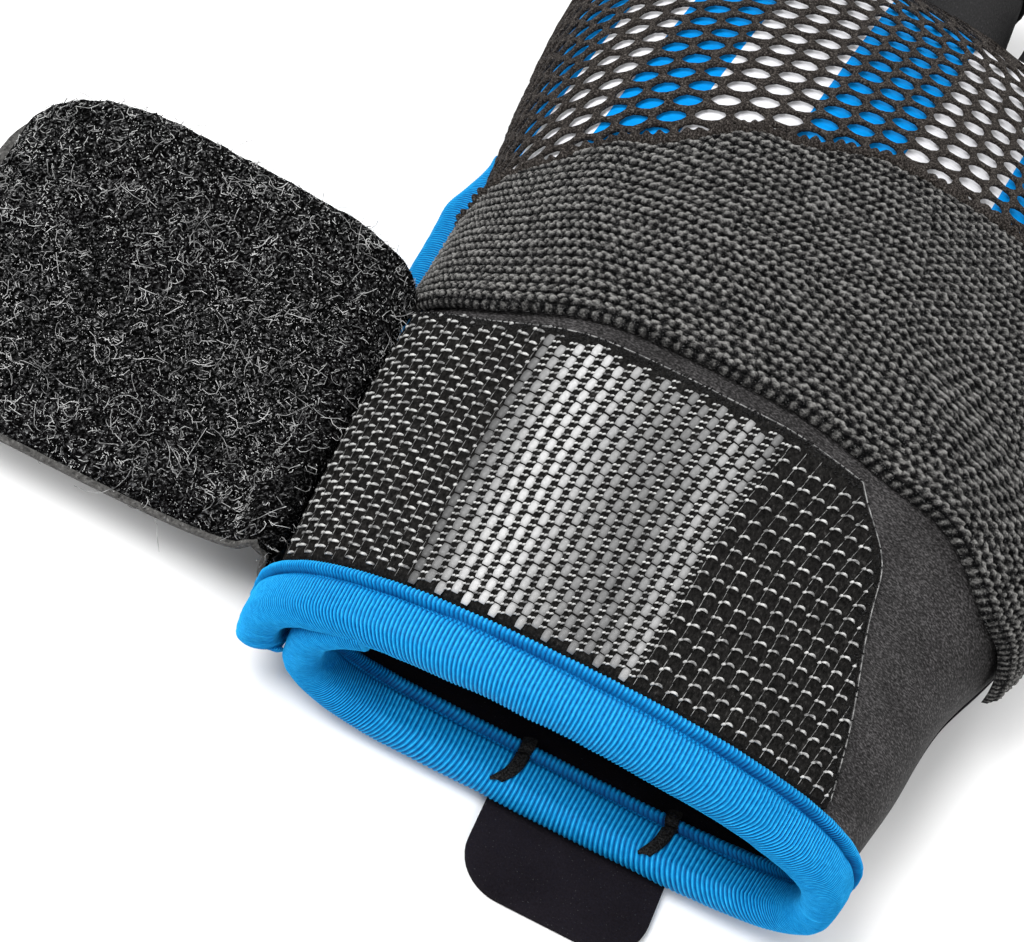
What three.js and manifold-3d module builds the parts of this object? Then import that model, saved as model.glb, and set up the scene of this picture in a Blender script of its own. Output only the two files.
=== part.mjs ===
// A left-hand weightlifting glove with half fingers, lying on its palm: a soft shell of palm and back
// panels with five short finger sleeves, a padded wrist cuff with a hook patch, a loop-faced strap that
// stands open on the little-finger side, an elastic band, an open net over a striped back, blue edge
// bindings and a pull tab under the wrist.
// Millimetres. +Y runs from the wrist edge to the fingers, +X to the thumb, +Z up from the resting palm.
// The origin is on the flat underside of the palm.
import * as THREE from "three";
import { mergeVertices } from "three/addons/utils/BufferGeometryUtils.js";
import Module from "manifold-3d";

// Overall sizes of the hand shell
const handLength = 164; // wrist edge to the finger webs
const palmWidth = 92; // across the knuckles
const handThickness = 38; // resting face to the highest point of the back
const originAlong = 90; // how far the origin lies from the wrist edge
const wall = 1.8; // palm, cuff and back fabric
const gap = 0.4; // clearance between pieces that lie on each other

// Wrist cuff, hook patch and edge bindings
const cuffLength = 62;
const edgeSetback = 2; // the fabric's edge behind the binding's fold
const bindingWidth = 6.8;
const bindingFold = 3.8; // how far the fold stands in front of the fabric's edge
const bindingCloth = 1.1; // thickness of the binding on each face
const foldRound = 2; // how far back the fold's round shoulder reaches
const foldLip = 0.6; // where that shoulder starts
const foldDrop = 0.5; // how much lower it starts
const grooveDepth = 0.7;
const grooveEntry = 1; // slope on the fold's side of the groove
const grooveExit = 0.7; // slope on the ridge's side
const ridgeWidth = 2.1;
const ridgeDrop = 0.2; // how much lower the ridge's far edge is
const patchThickness = 1.3;
const patchRight = 39; // degrees up from the side at its ends
const patchLeft = 157;
const patchSlant = 24; // degrees its thumb end leans in
const patchCorner = 7; // degrees its far corner is rounded in
const patchCornerFrom = 0.7; // share of its length where that starts
const neopreneShow = 2.4; // widest strip left bare between the patch and the band
const slitLength = 103;
const slitCover = 5; // how far the slit's binding laps the palm panel
const slitParting = 1.7; // how far the slit stands open
const slitFlare = 4.2; // how far the panel's edge stands out there, past the strap
const slitFlareRise = 11; // lengths over which it comes out and goes back in
const slitFlareFall = 16;
const slitRound = 0.65; // share of its fold's depth where that round bends
const seamDrop = 1.2; // the little-finger side's seam below the widest line
const cuffLap = 6.4; // the cuff's corner below the widest line at the wrist
const palmRise = 3.2; // the palm panel's corner above it
const palmTuck = 7; // how far that corner tucks inside the cuff
const tuckFrom = 0.4; // share of the half width where the tuck starts
const webBlend = 0.14; // share of the way from the slit's end to the webs where the seam settles

// Elastic band
const bandThickness = 1.8;
const bandEdge = 0.7; // share of that thickness left at its two long edges
const bandRest = 1.8 * gap; // how far the band stands off the back
const bandFlare = 1.4 * gap; // added where the back flares to the thumb
const bandFlareEnd = 0.4; // share across where that has faded out
const bandFlareSpan = 0.3;

// Net over the striped panel
const netThickness = 0.9;
const netEnd = 0.975; // share of handLength
const netLap = 2.5; // how far its hem lies on the band
const netDropFrom = 0.8; // beyond the band's edge, where the net starts to come down
const netDropTo = 5; // and where it lies on the back
const netRest = 1.5 * gap;
const netColumns = 10;
const netRows = 8;
const netHem = 0.045; // share of its length
const netZigzag = 0.17; // share of a row's height
const netOpen = 0.72; // share of each cell that is open

// Strap
const strapWidth = 50.5;
const strapStart = 10; // its near edge behind the wrist edge
const strapReach = 58; // from the side of the cuff to its free end
const strapBacking = 1.7;
const pileThickness = 2.5;
const strapCorner = 15;
const strapRise = 1.5; // from the side of the cuff to its highest part
const strapPitch = 0.26; // rise for each millimetre towards the fingers
const pileMargin = 1; // bare backing along its edges
const pileEdge = 0.55; // share of its thickness left at its edges
const pileGap = 0.8 * gap;
const strapGap = 1.3 * gap; // between the strap and what it lies against
const strapClimb = 6; // how far before the band the strap starts to draw off the cuff
const strapSettle = 1; // and where it is clear of the band
const strapCrowding = 1.6; // how much closer its stations stand towards the free end

// Pull tab
const tabWidth = 27;
const tabReach = 15; // in front of the wrist edge
const tabRoot = 8;
const tabThickness = 1.1;
const tabClearance = 0.1;
const tabCorner = 5;
const tabCentre = 9;
const tackSpacing = 24;
const tackWidth = 1.5;
const tackHeight = 0.8;
const tackShare = 1.05; // its length over the binding's width

// Fingers
const fingerLength = 30;
const sleeveWall = 1.5;
const thumbLength = 52;
const thumbWidth = 27;
const thumbHeight = 22;
const thumbTaper = 0.95; // size at the open end over thumbWidth
const thumbFlare = 0.3; // added at the root
const hemWidth = 6;
const hemThickness = 0.7;

// The palm's wrist edge stands off the surface by the tab and the binding beneath it.
const wristLift = tabClearance + tabThickness + gap + bindingCloth + gap;

// Sections of the hand from wrist to webs. along is a share of handLength, left and right of palmWidth,
// under of wristLift and crown of handThickness. Below zero the palm presses flat on the surface.
const sections = [
  { along: 0.0, left: 0.463, right: 0.46, under: 1.0, crown: 0.67 },
  { along: 0.05, left: 0.467, right: 0.475, under: 1.0, crown: 0.7 },
  { along: 0.12, left: 0.474, right: 0.503, under: -0.25, crown: 0.73 },
  { along: 0.22, left: 0.48, right: 0.535, under: -0.25, crown: 0.785 },
  { along: 0.32, left: 0.478, right: 0.6, under: -0.25, crown: 0.86 },
  { along: 0.42, left: 0.468, right: 0.645, under: -0.25, crown: 0.93 },
  { along: 0.54, left: 0.468, right: 0.63, under: -0.25, crown: 0.98 },
  { along: 0.66, left: 0.486, right: 0.56, under: -0.25, crown: 1.0 },
  { along: 0.78, left: 0.497, right: 0.51, under: -0.25, crown: 0.95 },
  { along: 0.9, left: 0.49, right: 0.495, under: -0.25, crown: 0.84 },
  { along: 0.97, left: 0.482, right: 0.485, under: 0.0, crown: 0.72 },
  { along: 1.0, left: 0.475, right: 0.478, under: 0.25, crown: 0.635 },
];
const sideShare = 0.33; // height of the widest line, a share of handThickness
const crownFullness = 2.35; // 2 is an ellipse, more is squarer
const underFullness = 3.4;

// Fingers from the little finger to the index. across is the root's middle and splay the tip's drift, as
// shares of palmWidth; width is a share of palmWidth, height of handThickness, reach of fingerLength.
const fingers = [
  { name: "little", across: -0.362, splay: -0.04, width: 0.222, height: 0.52, reach: 0.86 },
  { name: "ring", across: -0.127, splay: -0.012, width: 0.233, height: 0.55, reach: 0.98 },
  { name: "middle", across: 0.118, splay: 0.006, width: 0.24, height: 0.56, reach: 1.0 },
  { name: "index", across: 0.361, splay: 0.03, width: 0.232, height: 0.55, reach: 0.95 },
];
const fingerTaper = 0.9; // size at the open end over size at the root

// Lower and upper edges of the elastic band, shares of handLength, from the thumb side across the back.
const bandEdges = [
  { across: 0.0, low: 0.27, high: 0.62 },
  { across: 0.18, low: 0.288, high: 0.659 },
  { across: 0.34, low: 0.334, high: 0.659 },
  { across: 0.5, low: 0.354, high: 0.624 },
  { across: 0.66, low: 0.357, high: 0.563 },
  { across: 0.8, low: 0.338, high: 0.52 },
  { across: 1.0, low: 0.348, high: 0.475 },
];
const bandStart = bandEdges[bandEdges.length - 1].low * handLength;
const thumbClearFrom = 0.34; // shares of handLength where the back's layers draw up above the thumb
const thumbClearTo = 0.5;
const backMargin = 4; // degrees they stop short of the little-finger side
const thumbClearance = 3;

// The strap's seam lies along the side of the cuff, at these shares of sideHeight below the widest
// line, for its edge nearer the wrist and the far one. From there out is a share of strapReach, up of
// strapRise, and tilt of the full lean.
const strapSeam = [
  { near: 0.6, far: 0.6 },
  { near: 0.36, far: 0.32 },
  { near: 0.14, far: 0 },
  { near: -0.02, far: -0.32 },
];
const strapPath = [
  { out: 0.04, up: 0.6, tilt: 0.5 },
  { out: 0.14, up: 0.9, tilt: 0.8 },
  { out: 0.32, up: 1.0, tilt: 0.95 },
  { out: 0.66, up: 1.0, tilt: 1.0 },
  { out: 1.0, up: 0.84, tilt: 1.0 },
];

const sideHeight = sideShare * handThickness;
const degrees = Math.PI / 180;
const rightSeam = 0;
const leftSeam = 180;

const wasm = await Module();
wasm.setup();

const glove = new THREE.Group();
glove.name = "weightlifting_glove";
glove.position.set(0, -originAlong, 0);

const finishes = {
  suede: new THREE.MeshStandardMaterial({ color: 0x17161a, roughness: 0.95 }),
  neoprene: new THREE.MeshStandardMaterial({ color: 0x222224, roughness: 0.8 }),
  stripes: new THREE.MeshStandardMaterial({ color: 0x3fa4e4, roughness: 0.75 }),
  net: new THREE.MeshStandardMaterial({ color: 0x2a2729, roughness: 0.85 }),
  elastic: new THREE.MeshStandardMaterial({ color: 0x1f1f20, roughness: 0.85 }),
  hooks: new THREE.MeshStandardMaterial({ color: 0x2b2b2b, roughness: 0.45 }),
  pile: new THREE.MeshStandardMaterial({ color: 0x242426, roughness: 0.95 }),
  backing: new THREE.MeshStandardMaterial({ color: 0x55534f, roughness: 0.85 }),
  binding: new THREE.MeshStandardMaterial({ color: 0x1486e0, roughness: 0.7 }),
  stretch: new THREE.MeshStandardMaterial({ color: 0x1b1b1d, roughness: 0.85 }),
  thread: new THREE.MeshStandardMaterial({ color: 0x101011, roughness: 0.8 }),
};

// Smooth value of one column of the section table at a distance from the wrist edge.
function sectionValue(column, y) {
  const along = THREE.MathUtils.clamp(y / handLength, 0, 1);
  let i = 0;
  while (i < sections.length - 2 && along > sections[i + 1].along) i += 1;
  const a = sections[Math.max(i - 1, 0)];
  const b = sections[i];
  const c = sections[i + 1];
  const d = sections[Math.min(i + 2, sections.length - 1)];
  const span = c.along - b.along;
  const t = (along - b.along) / span;
  const slopeB = (span * (c[column] - a[column])) / (c.along - a.along);
  const slopeC = (span * (d[column] - b[column])) / (d.along - b.along);
  const t2 = t * t;
  const t3 = t2 * t;
  return (
    (2 * t3 - 3 * t2 + 1) * b[column] +
    (t3 - 2 * t2 + t) * slopeB +
    (3 * t2 - 2 * t3) * c[column] +
    (t3 - t2) * slopeC
  );
}

// How far the palm panel's free edge stands out along the slit: 0 at its ends, 1 beside the band.
function slitOut(y) {
  const from = strapStart + strapWidth;
  const rise = THREE.MathUtils.smoothstep(y, from, from + slitFlareRise);
  return rise * (1 - THREE.MathUtils.smoothstep(y, slitLength - slitFlareFall, slitLength + gap));
}

// Point on the hand's outline at distance y from the wrist edge. The angle runs from the thumb side (0)
// over the crown (90) to the little-finger side (180) and under the palm (270). grow moves it outwards.
function handPoint(y, angle, grow, tuck = 0) {
  const left = sectionValue("left", y) * palmWidth;
  const right = sectionValue("right", y) * palmWidth;
  const c = Math.cos(angle * degrees);
  const s = Math.sin(angle * degrees);
  const over = s >= 0;
  const height = over
    ? sectionValue("crown", y) * handThickness - sideHeight
    : sideHeight - sectionValue("under", y) * wristLift;
  const fullness = over ? crownFullness : underFullness;
  const reach = (Math.abs(c) ** fullness + Math.abs(s) ** fullness) ** (-1 / fullness);
  let x = (right - left) / 2 + ((right + left) / 2 + grow) * reach * c;
  const z = sideHeight + (height + grow) * reach * s;
  if (tuck > 0 && x < 0) {
    const towardsEdge = THREE.MathUtils.smoothstep(-x / left, tuckFrom, 1);
    const towardsWrist = 1 - THREE.MathUtils.smoothstep(y, 0, cuffLength);
    x += towardsEdge * (tuck * towardsWrist - slitFlare * slitOut(y));
  }
  return new THREE.Vector3(x, y, grow > 0 ? z : Math.max(z, -grow));
}

// Closed solid between an outer and an inner grid of points, place(u, v, face) with face 1 outside.
function sheetGeometry(columns, rows, place) {
  const positions = [];
  const index = [];
  const id = (i, j, face) => (face * (rows + 1) + j) * (columns + 1) + i;
  for (let face = 0; face < 2; face += 1)
    for (let j = 0; j <= rows; j += 1)
      for (let i = 0; i <= columns; i += 1) positions.push(...place(i / columns, j / rows, face));
  const quad = (a, b, c, d) => index.push(a, b, c, a, c, d);
  for (let j = 0; j < rows; j += 1)
    for (let i = 0; i < columns; i += 1) {
      quad(id(i, j, 1), id(i + 1, j, 1), id(i + 1, j + 1, 1), id(i, j + 1, 1));
      quad(id(i, j, 0), id(i, j + 1, 0), id(i + 1, j + 1, 0), id(i + 1, j, 0));
    }
  for (let i = 0; i < columns; i += 1) {
    quad(id(i, 0, 0), id(i + 1, 0, 0), id(i + 1, 0, 1), id(i, 0, 1));
    quad(id(i, rows, 1), id(i + 1, rows, 1), id(i + 1, rows, 0), id(i, rows, 0));
  }
  for (let j = 0; j < rows; j += 1) {
    quad(id(0, j, 1), id(0, j + 1, 1), id(0, j + 1, 0), id(0, j, 0));
    quad(id(columns, j, 0), id(columns, j + 1, 0), id(columns, j + 1, 1), id(columns, j, 1));
  }
  return closedGeometry(positions, index);
}

// A flat closed profile, in order, swept along: ringAt(share, point) places each of its points.
function sweepGeometry(profile, stations, ringAt) {
  const count = profile.length;
  const positions = [];
  const index = [];
  for (let i = 0; i <= stations; i += 1)
    for (const point of profile) positions.push(...ringAt(i / stations, point));
  for (let i = 0; i < stations; i += 1)
    for (let k = 0; k < count; k += 1) {
      const next = (k + 1) % count;
      const a = i * count + k;
      const b = i * count + next;
      index.push(a, b, b + count, a, b + count, a + count);
    }
  const far = stations * count;
  const reversed = THREE.ShapeUtils.isClockWise(profile);
  for (const [a, b, c] of THREE.ShapeUtils.triangulateShape(profile, [])) {
    const [p, q] = reversed ? [b, c] : [c, b];
    index.push(a, p, q);
    index.push(far + a, far + q, far + p);
  }
  return closedGeometry(positions, index);
}

// Geometry from points and faces, turned so that its faces point out.
function closedGeometry(positions, index) {
  const geometry = new THREE.BufferGeometry();
  geometry.setAttribute("position", new THREE.BufferAttribute(new Float32Array(positions), 3));
  geometry.setIndex(index);
  const a = new THREE.Vector3();
  const b = new THREE.Vector3();
  const c = new THREE.Vector3();
  let volume = 0;
  for (let i = 0; i < index.length; i += 3) {
    a.fromArray(positions, 3 * index[i]);
    b.fromArray(positions, 3 * index[i + 1]);
    c.fromArray(positions, 3 * index[i + 2]);
    volume += a.dot(b.cross(c));
  }
  if (volume < 0) {
    const turned = [];
    for (let i = 0; i < index.length; i += 3) turned.push(index[i], index[i + 2], index[i + 1]);
    geometry.setIndex(turned);
  }
  return geometry;
}

function solidOf(geometry) {
  const bare = geometry.clone();
  bare.deleteAttribute("normal");
  bare.deleteAttribute("uv");
  const merged = mergeVertices(bare, 1e-4);
  return new wasm.Manifold(
    new wasm.Mesh({
      numProp: 3,
      vertProperties: merged.attributes.position.array,
      triVerts: new Uint32Array(merged.index.array),
    }),
  );
}

function geometryOf(solid) {
  const mesh = solid.getMesh();
  const stride = mesh.numProp;
  const positions = new Float32Array(mesh.numVert * 3);
  for (let i = 0; i < mesh.numVert; i += 1)
    positions.set(mesh.vertProperties.subarray(i * stride, i * stride + 3), i * 3);
  return new THREE.BufferGeometry()
    .setAttribute("position", new THREE.BufferAttribute(positions, 3))
    .setIndex(new THREE.BufferAttribute(mesh.triVerts, 1));
}

function addPiece(name, geometry, finish) {
  const mesh = new THREE.Mesh(geometry, finishes[finish]);
  mesh.name = name;
  glove.add(mesh);
}

const mix = THREE.MathUtils.lerp;
const ease = THREE.MathUtils.smoothstep;

// Angle that puts an edge a given distance below or above the widest line at the side.
function seamAngle(y, side, drop) {
  const height = drop > 0 ? sideHeight : sectionValue("crown", y) * handThickness - sideHeight;
  const turn = drop / height / degrees;
  return side === rightSeam ? -turn : leftSeam + turn;
}

// Where the panels end at the little-finger side, below the widest line, from the wrist to the webs.
const cuffLeftDrop = (y) => mix(cuffLap, seamDrop, ease(y, 0, cuffLength * 0.6));
const seamGap = gap / 2;

// Distances from the wrist edge of the palm panel's rows, closer together where its free edge bends.
const slitStations = [0, 0.07, 0.14, 0.22, 0.34, 0.49, 0.66, 0.83, 1].map((share) =>
  mix(bindingWidth + gap, slitLength, share),
);
const palmStations = [
  edgeSetback,
  ...slitStations,
  ...[0.07, 0.15, 0.42, 0.72, 1].map((share) => mix(slitLength, handLength, share)),
];

function palmLeftDrop(y) {
  const slitDrop = seamDrop + slitParting + gap + bindingCloth;
  const open = mix(-palmRise, slitDrop, ease(y, 0, cuffLength * 0.5));
  return mix(open, seamDrop + gap, ease(y, slitLength, mix(slitLength, handLength, webBlend)));
}

// A finger's outline at share t of its sleeve, from the web at 0 to the open end at 1.
function fingerPoint(finger, t, angle, grow) {
  const size = mix(1, fingerTaper, t);
  const halfWidth = (finger.width * palmWidth * size) / 2 + grow;
  const halfHeight = (finger.height * handThickness * size) / 2 + grow;
  const x = (finger.across + finger.splay * Math.max(t, 0)) * palmWidth;
  const y = handLength + gap + t * fingerLength * finger.reach;
  const base = (finger.height * handThickness) / 2 + wall;
  return new THREE.Vector3(
    x + halfWidth * Math.cos(angle * degrees),
    y,
    base + halfHeight * Math.sin(angle * degrees),
  );
}

// The thumb leaves the hand forwards and outwards, and lies level.
const thumbRoot = new THREE.Vector3(0.43 * palmWidth, 0.5 * handLength, 0);
const thumbHeading = 44 * degrees;
const thumbAlong = new THREE.Vector3(Math.sin(thumbHeading), Math.cos(thumbHeading), 0);
const thumbAcross = new THREE.Vector3(Math.cos(thumbHeading), -Math.sin(thumbHeading), 0);

function thumbPoint(distance, angle, grow) {
  const left = Math.max(1 - distance / thumbLength, 0);
  const size = thumbTaper + thumbFlare * left ** 1.5;
  const halfWidth = (thumbWidth * size) / 2 + grow;
  const middle = (thumbHeight * size) / 2;
  const point = thumbRoot
    .clone()
    .addScaledVector(thumbAlong, distance)
    .addScaledVector(thumbAcross, halfWidth * Math.cos(angle * degrees));
  point.z = sideHeight - thumbHeight / 2 + middle + (middle + grow) * Math.sin(angle * degrees);
  return point;
}

// Solid plug with rings of points from first to last, for cutting bores.
function plugSolid(sides, rings, ringPoint) {
  const positions = [];
  const index = [];
  for (let j = 0; j <= rings; j += 1)
    for (let k = 0; k < sides; k += 1) positions.push(...ringPoint(j / rings, (360 * k) / sides));
  for (let j = 0; j < rings; j += 1)
    for (let k = 0; k < sides; k += 1) {
      const next = (k + 1) % sides;
      const a = j * sides + k;
      const b = j * sides + next;
      index.push(a, b, b + sides, a, b + sides, a + sides);
    }
  for (let k = 1; k < sides - 1; k += 1) {
    index.push(0, k + 1, k);
    const far = rings * sides;
    index.push(far, far + k, far + k + 1);
  }
  return solidOf(closedGeometry(positions, index));
}

// Open tube: rings from one end to the other on the outside, and back on the inside.
function tubeGeometry(sides, rings, tubePoint) {
  const positions = [];
  const index = [];
  const loop = [];
  for (let j = 0; j <= rings; j += 1) loop.push([j / rings, 1]);
  for (let j = rings; j >= 0; j -= 1) loop.push([j / rings, 0]);
  for (const [t, face] of loop)
    for (let k = 0; k < sides; k += 1) positions.push(...tubePoint(t, (360 * k) / sides, face));
  for (let j = 0; j < loop.length; j += 1)
    for (let k = 0; k < sides; k += 1) {
      const next = (k + 1) % sides;
      const row = ((j + 1) % loop.length) * sides;
      index.push(j * sides + k, j * sides + next, row + next);
      index.push(j * sides + k, row + next, row + k);
    }
  return closedGeometry(positions, index);
}

const boreSides = 14;
const boreFrom = -0.12; // shares of a sleeve between which its bore is cut through the webs
const boreTo = 0.3;
const fingerBores = fingers.map((finger) =>
  plugSolid(boreSides, 1, (t, angle) =>
    fingerPoint(finger, mix(boreFrom, boreTo, t), angle, -sleeveWall),
  ),
);
const thumbBore = plugSolid(boreSides, 4, (t, angle) =>
  thumbPoint(t * thumbLength, angle, -sleeveWall),
);

// The closed end of the hand shell at the webs, above or below the seam.
function webWall(from, to) {
  const shape = new THREE.Shape();
  const steps = 18;
  for (let i = 0; i <= steps; i += 1) {
    const point = handPoint(handLength, mix(from, to, i / steps), -wall / 2);
    if (i === 0) shape.moveTo(point.x, point.z);
    else shape.lineTo(point.x, point.z);
  }
  shape.closePath();
  const geometry = new THREE.ExtrudeGeometry(shape, {
    depth: wall,
    bevelEnabled: false,
    curveSegments: 1,
  });
  geometry.rotateX(Math.PI / 2);
  geometry.translate(0, handLength, 0);
  return geometry;
}

function withBores(solid) {
  let cut = solid;
  for (const bore of fingerBores) cut = cut.subtract(bore);
  return cut.subtract(thumbBore);
}

function palmPanel() {
  const rows = palmStations.length - 1;
  const sheet = sheetGeometry(16, rows, (u, v, face) => {
    const y = palmStations[Math.round(v * rows)];
    const start = seamAngle(y, rightSeam, seamGap);
    const end = seamAngle(y, leftSeam, palmLeftDrop(y)) - 360;
    return handPoint(y, mix(start, end, u), face ? 0 : -wall, palmTuck);
  });
  const first = seamAngle(handLength, rightSeam, seamGap);
  const last = seamAngle(handLength, leftSeam, palmLeftDrop(handLength)) - 360;
  const solid = solidOf(sheet).add(solidOf(webWall(first, last)));
  addPiece("palm_panel", geometryOf(withBores(solid)), "suede");
}

function backPanel() {
  const from = cuffLength + gap;
  const sheet = sheetGeometry(20, 10, (u, v, face) => {
    const y = mix(from, handLength, v);
    const start = seamAngle(y, rightSeam, -seamGap);
    const end = seamAngle(y, leftSeam, cuffLeftDrop(y));
    return handPoint(y, mix(start, end, u), face ? 0 : -wall);
  });
  const first = seamAngle(handLength, rightSeam, -seamGap);
  const last = seamAngle(handLength, leftSeam, cuffLeftDrop(handLength));
  const solid = solidOf(sheet).add(solidOf(webWall(first, last)));
  addPiece("back_panel", geometryOf(withBores(solid)), "stripes");
}

function cuffBack() {
  const sheet = sheetGeometry(20, 7, (u, v, face) => {
    const y = mix(edgeSetback, cuffLength, v);
    const start = seamAngle(y, rightSeam, -seamGap);
    const end = seamAngle(y, leftSeam, cuffLeftDrop(y));
    return handPoint(y, mix(start, end, u), face ? 0 : -wall);
  });
  addPiece("cuff_back", sheet, "neoprene");
}

// Section of an edge binding: how far in from the fold, and how far out from the shell's outer face.
function bindingProfile() {
  const outside = gap + bindingCloth;
  const inside = -wall - gap - bindingCloth;
  const fold = edgeSetback - bindingFold;
  const groove = bindingWidth - ridgeWidth;
  return [
    [fold, (outside + inside) / 2],
    [fold + foldLip, outside - foldDrop],
    [fold + foldRound, outside],
    [groove - grooveEntry, outside],
    [groove, outside - grooveDepth],
    [groove + grooveExit, outside],
    [bindingWidth, outside - ridgeDrop],
    [bindingWidth, gap],
    [edgeSetback - gap, gap],
    [edgeSetback - gap, -wall - gap],
    [bindingWidth, -wall - gap],
    [bindingWidth, inside + ridgeDrop],
    [groove + grooveExit, inside],
    [groove, inside + grooveDepth],
    [groove - grooveEntry, inside],
    [fold + foldRound, inside],
    [fold + foldLip, inside + foldDrop],
  ].map(([along, out]) => new THREE.Vector2(along, out));
}

function bindings() {
  const profile = bindingProfile();
  const backStart = seamAngle(0, rightSeam, seamGap);
  const backEnd = seamAngle(0, leftSeam, cuffLeftDrop(0));
  const back = sweepGeometry(profile, 20, (u, p) =>
    handPoint(p.x, mix(backStart, backEnd, u), p.y),
  );
  addPiece("binding_back", back, "binding");
  const palmStart = seamAngle(0, rightSeam, 3 * seamGap);
  const palmEnd = seamAngle(0, leftSeam, palmLeftDrop(0)) - 360;
  const palm = sweepGeometry(profile, 22, (u, p) =>
    handPoint(p.x, mix(palmStart, palmEnd, u), p.y, palmTuck),
  );
  addPiece("binding_palm", palm, "binding");
}

// Binding on the palm panel's free edge along the slit at the little-finger side.
function slitBinding() {
  const outside = gap + bindingCloth;
  const inside = -wall - gap;
  const under = inside - bindingCloth;
  const nearThird = slitCover / 3;
  const farThird = (2 * slitCover) / 3;
  const profile = [
    [-outside, inside / 2],
    [-outside * slitRound, outside * slitRound],
    [foldDrop, outside],
    [slitCover / 2, outside],
    [slitCover - foldLip, outside],
    [slitCover, gap],
    [farThird, gap],
    [nearThird, gap],
    [-gap, gap],
    [-gap, inside],
    [nearThird, inside],
    [farThird, inside],
    [slitCover, inside],
    [slitCover - foldLip, under],
    [foldDrop, under],
    [-outside * slitRound, inside - bindingCloth * slitRound],
  ].map(([down, out]) => new THREE.Vector2(down, out));
  const steps = slitStations.length - 1;
  const geometry = sweepGeometry(profile, steps, (u, p) => {
    const y = u === 0 ? slitStations[0] + gap : slitStations[Math.round(u * steps)];
    const angle = seamAngle(y, leftSeam, palmLeftDrop(y) + p.x);
    return handPoint(y, angle, p.y, palmTuck);
  });
  addPiece("slit_binding", geometry, "binding");
}

// A row of a table at share t, read along one of its columns from a given key.
function tableValue(table, key, column, t) {
  let i = 0;
  while (i < table.length - 2 && t > table[i + 1][key]) i += 1;
  const a = table[i];
  const b = table[i + 1];
  return mix(a[column], b[column], ease(t, a[key], b[key]));
}

// Angle at share u across the back, from above the thumb's sleeve to the little-finger side.
function backAngle(y, u) {
  const clearOfThumb = ease(y, thumbClearFrom * handLength, thumbClearTo * handLength);
  const height = thumbHeight / 2 + thumbClearance;
  const rise = Math.min(height / (sectionValue("crown", y) * handThickness - sideHeight), 1);
  const start = mix(seamAngle(y, rightSeam, -seamGap), Math.asin(rise) / degrees, clearOfThumb);
  return mix(start, leftSeam - backMargin, u);
}

// The band stands a little further off where the back flares to the thumb.
const bandLift = (u) => bandRest + bandFlare * ease(bandFlareEnd - u, 0, bandFlareSpan);
const netLift = (u) => bandLift(u) + bandThickness + gap;

function elasticBand() {
  const geometry = sheetGeometry(18, 8, (u, v, face) => {
    const low = tableValue(bandEdges, "across", "low", u);
    const high = tableValue(bandEdges, "across", "high", u);
    const y = mix(low, high, v) * handLength;
    const rounded = v === 0 || v === 1 ? bandEdge : 1;
    return handPoint(y, backAngle(y, u), bandLift(u) + (face ? bandThickness * rounded : 0));
  });
  addPiece("elastic_band", geometry, "elastic");
}

function hookPatch() {
  const from = bindingWidth + gap;
  const geometry = sheetGeometry(18, 5, (u, v, face) => {
    const right = patchRight + patchSlant * v + patchCorner * ease(v, patchCornerFrom, 1) ** 2;
    const turn = mix(right, patchLeft, u);
    const low = tableValue(bandEdges, "across", "low", turn / (leftSeam - backMargin)) * handLength;
    const end = low - 2 * gap - neopreneShow * Math.sin(Math.PI * u);
    return handPoint(mix(from, end, v), turn, gap + (face ? patchThickness : 0));
  });
  addPiece("hook_patch", geometry, "hooks");
}

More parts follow.
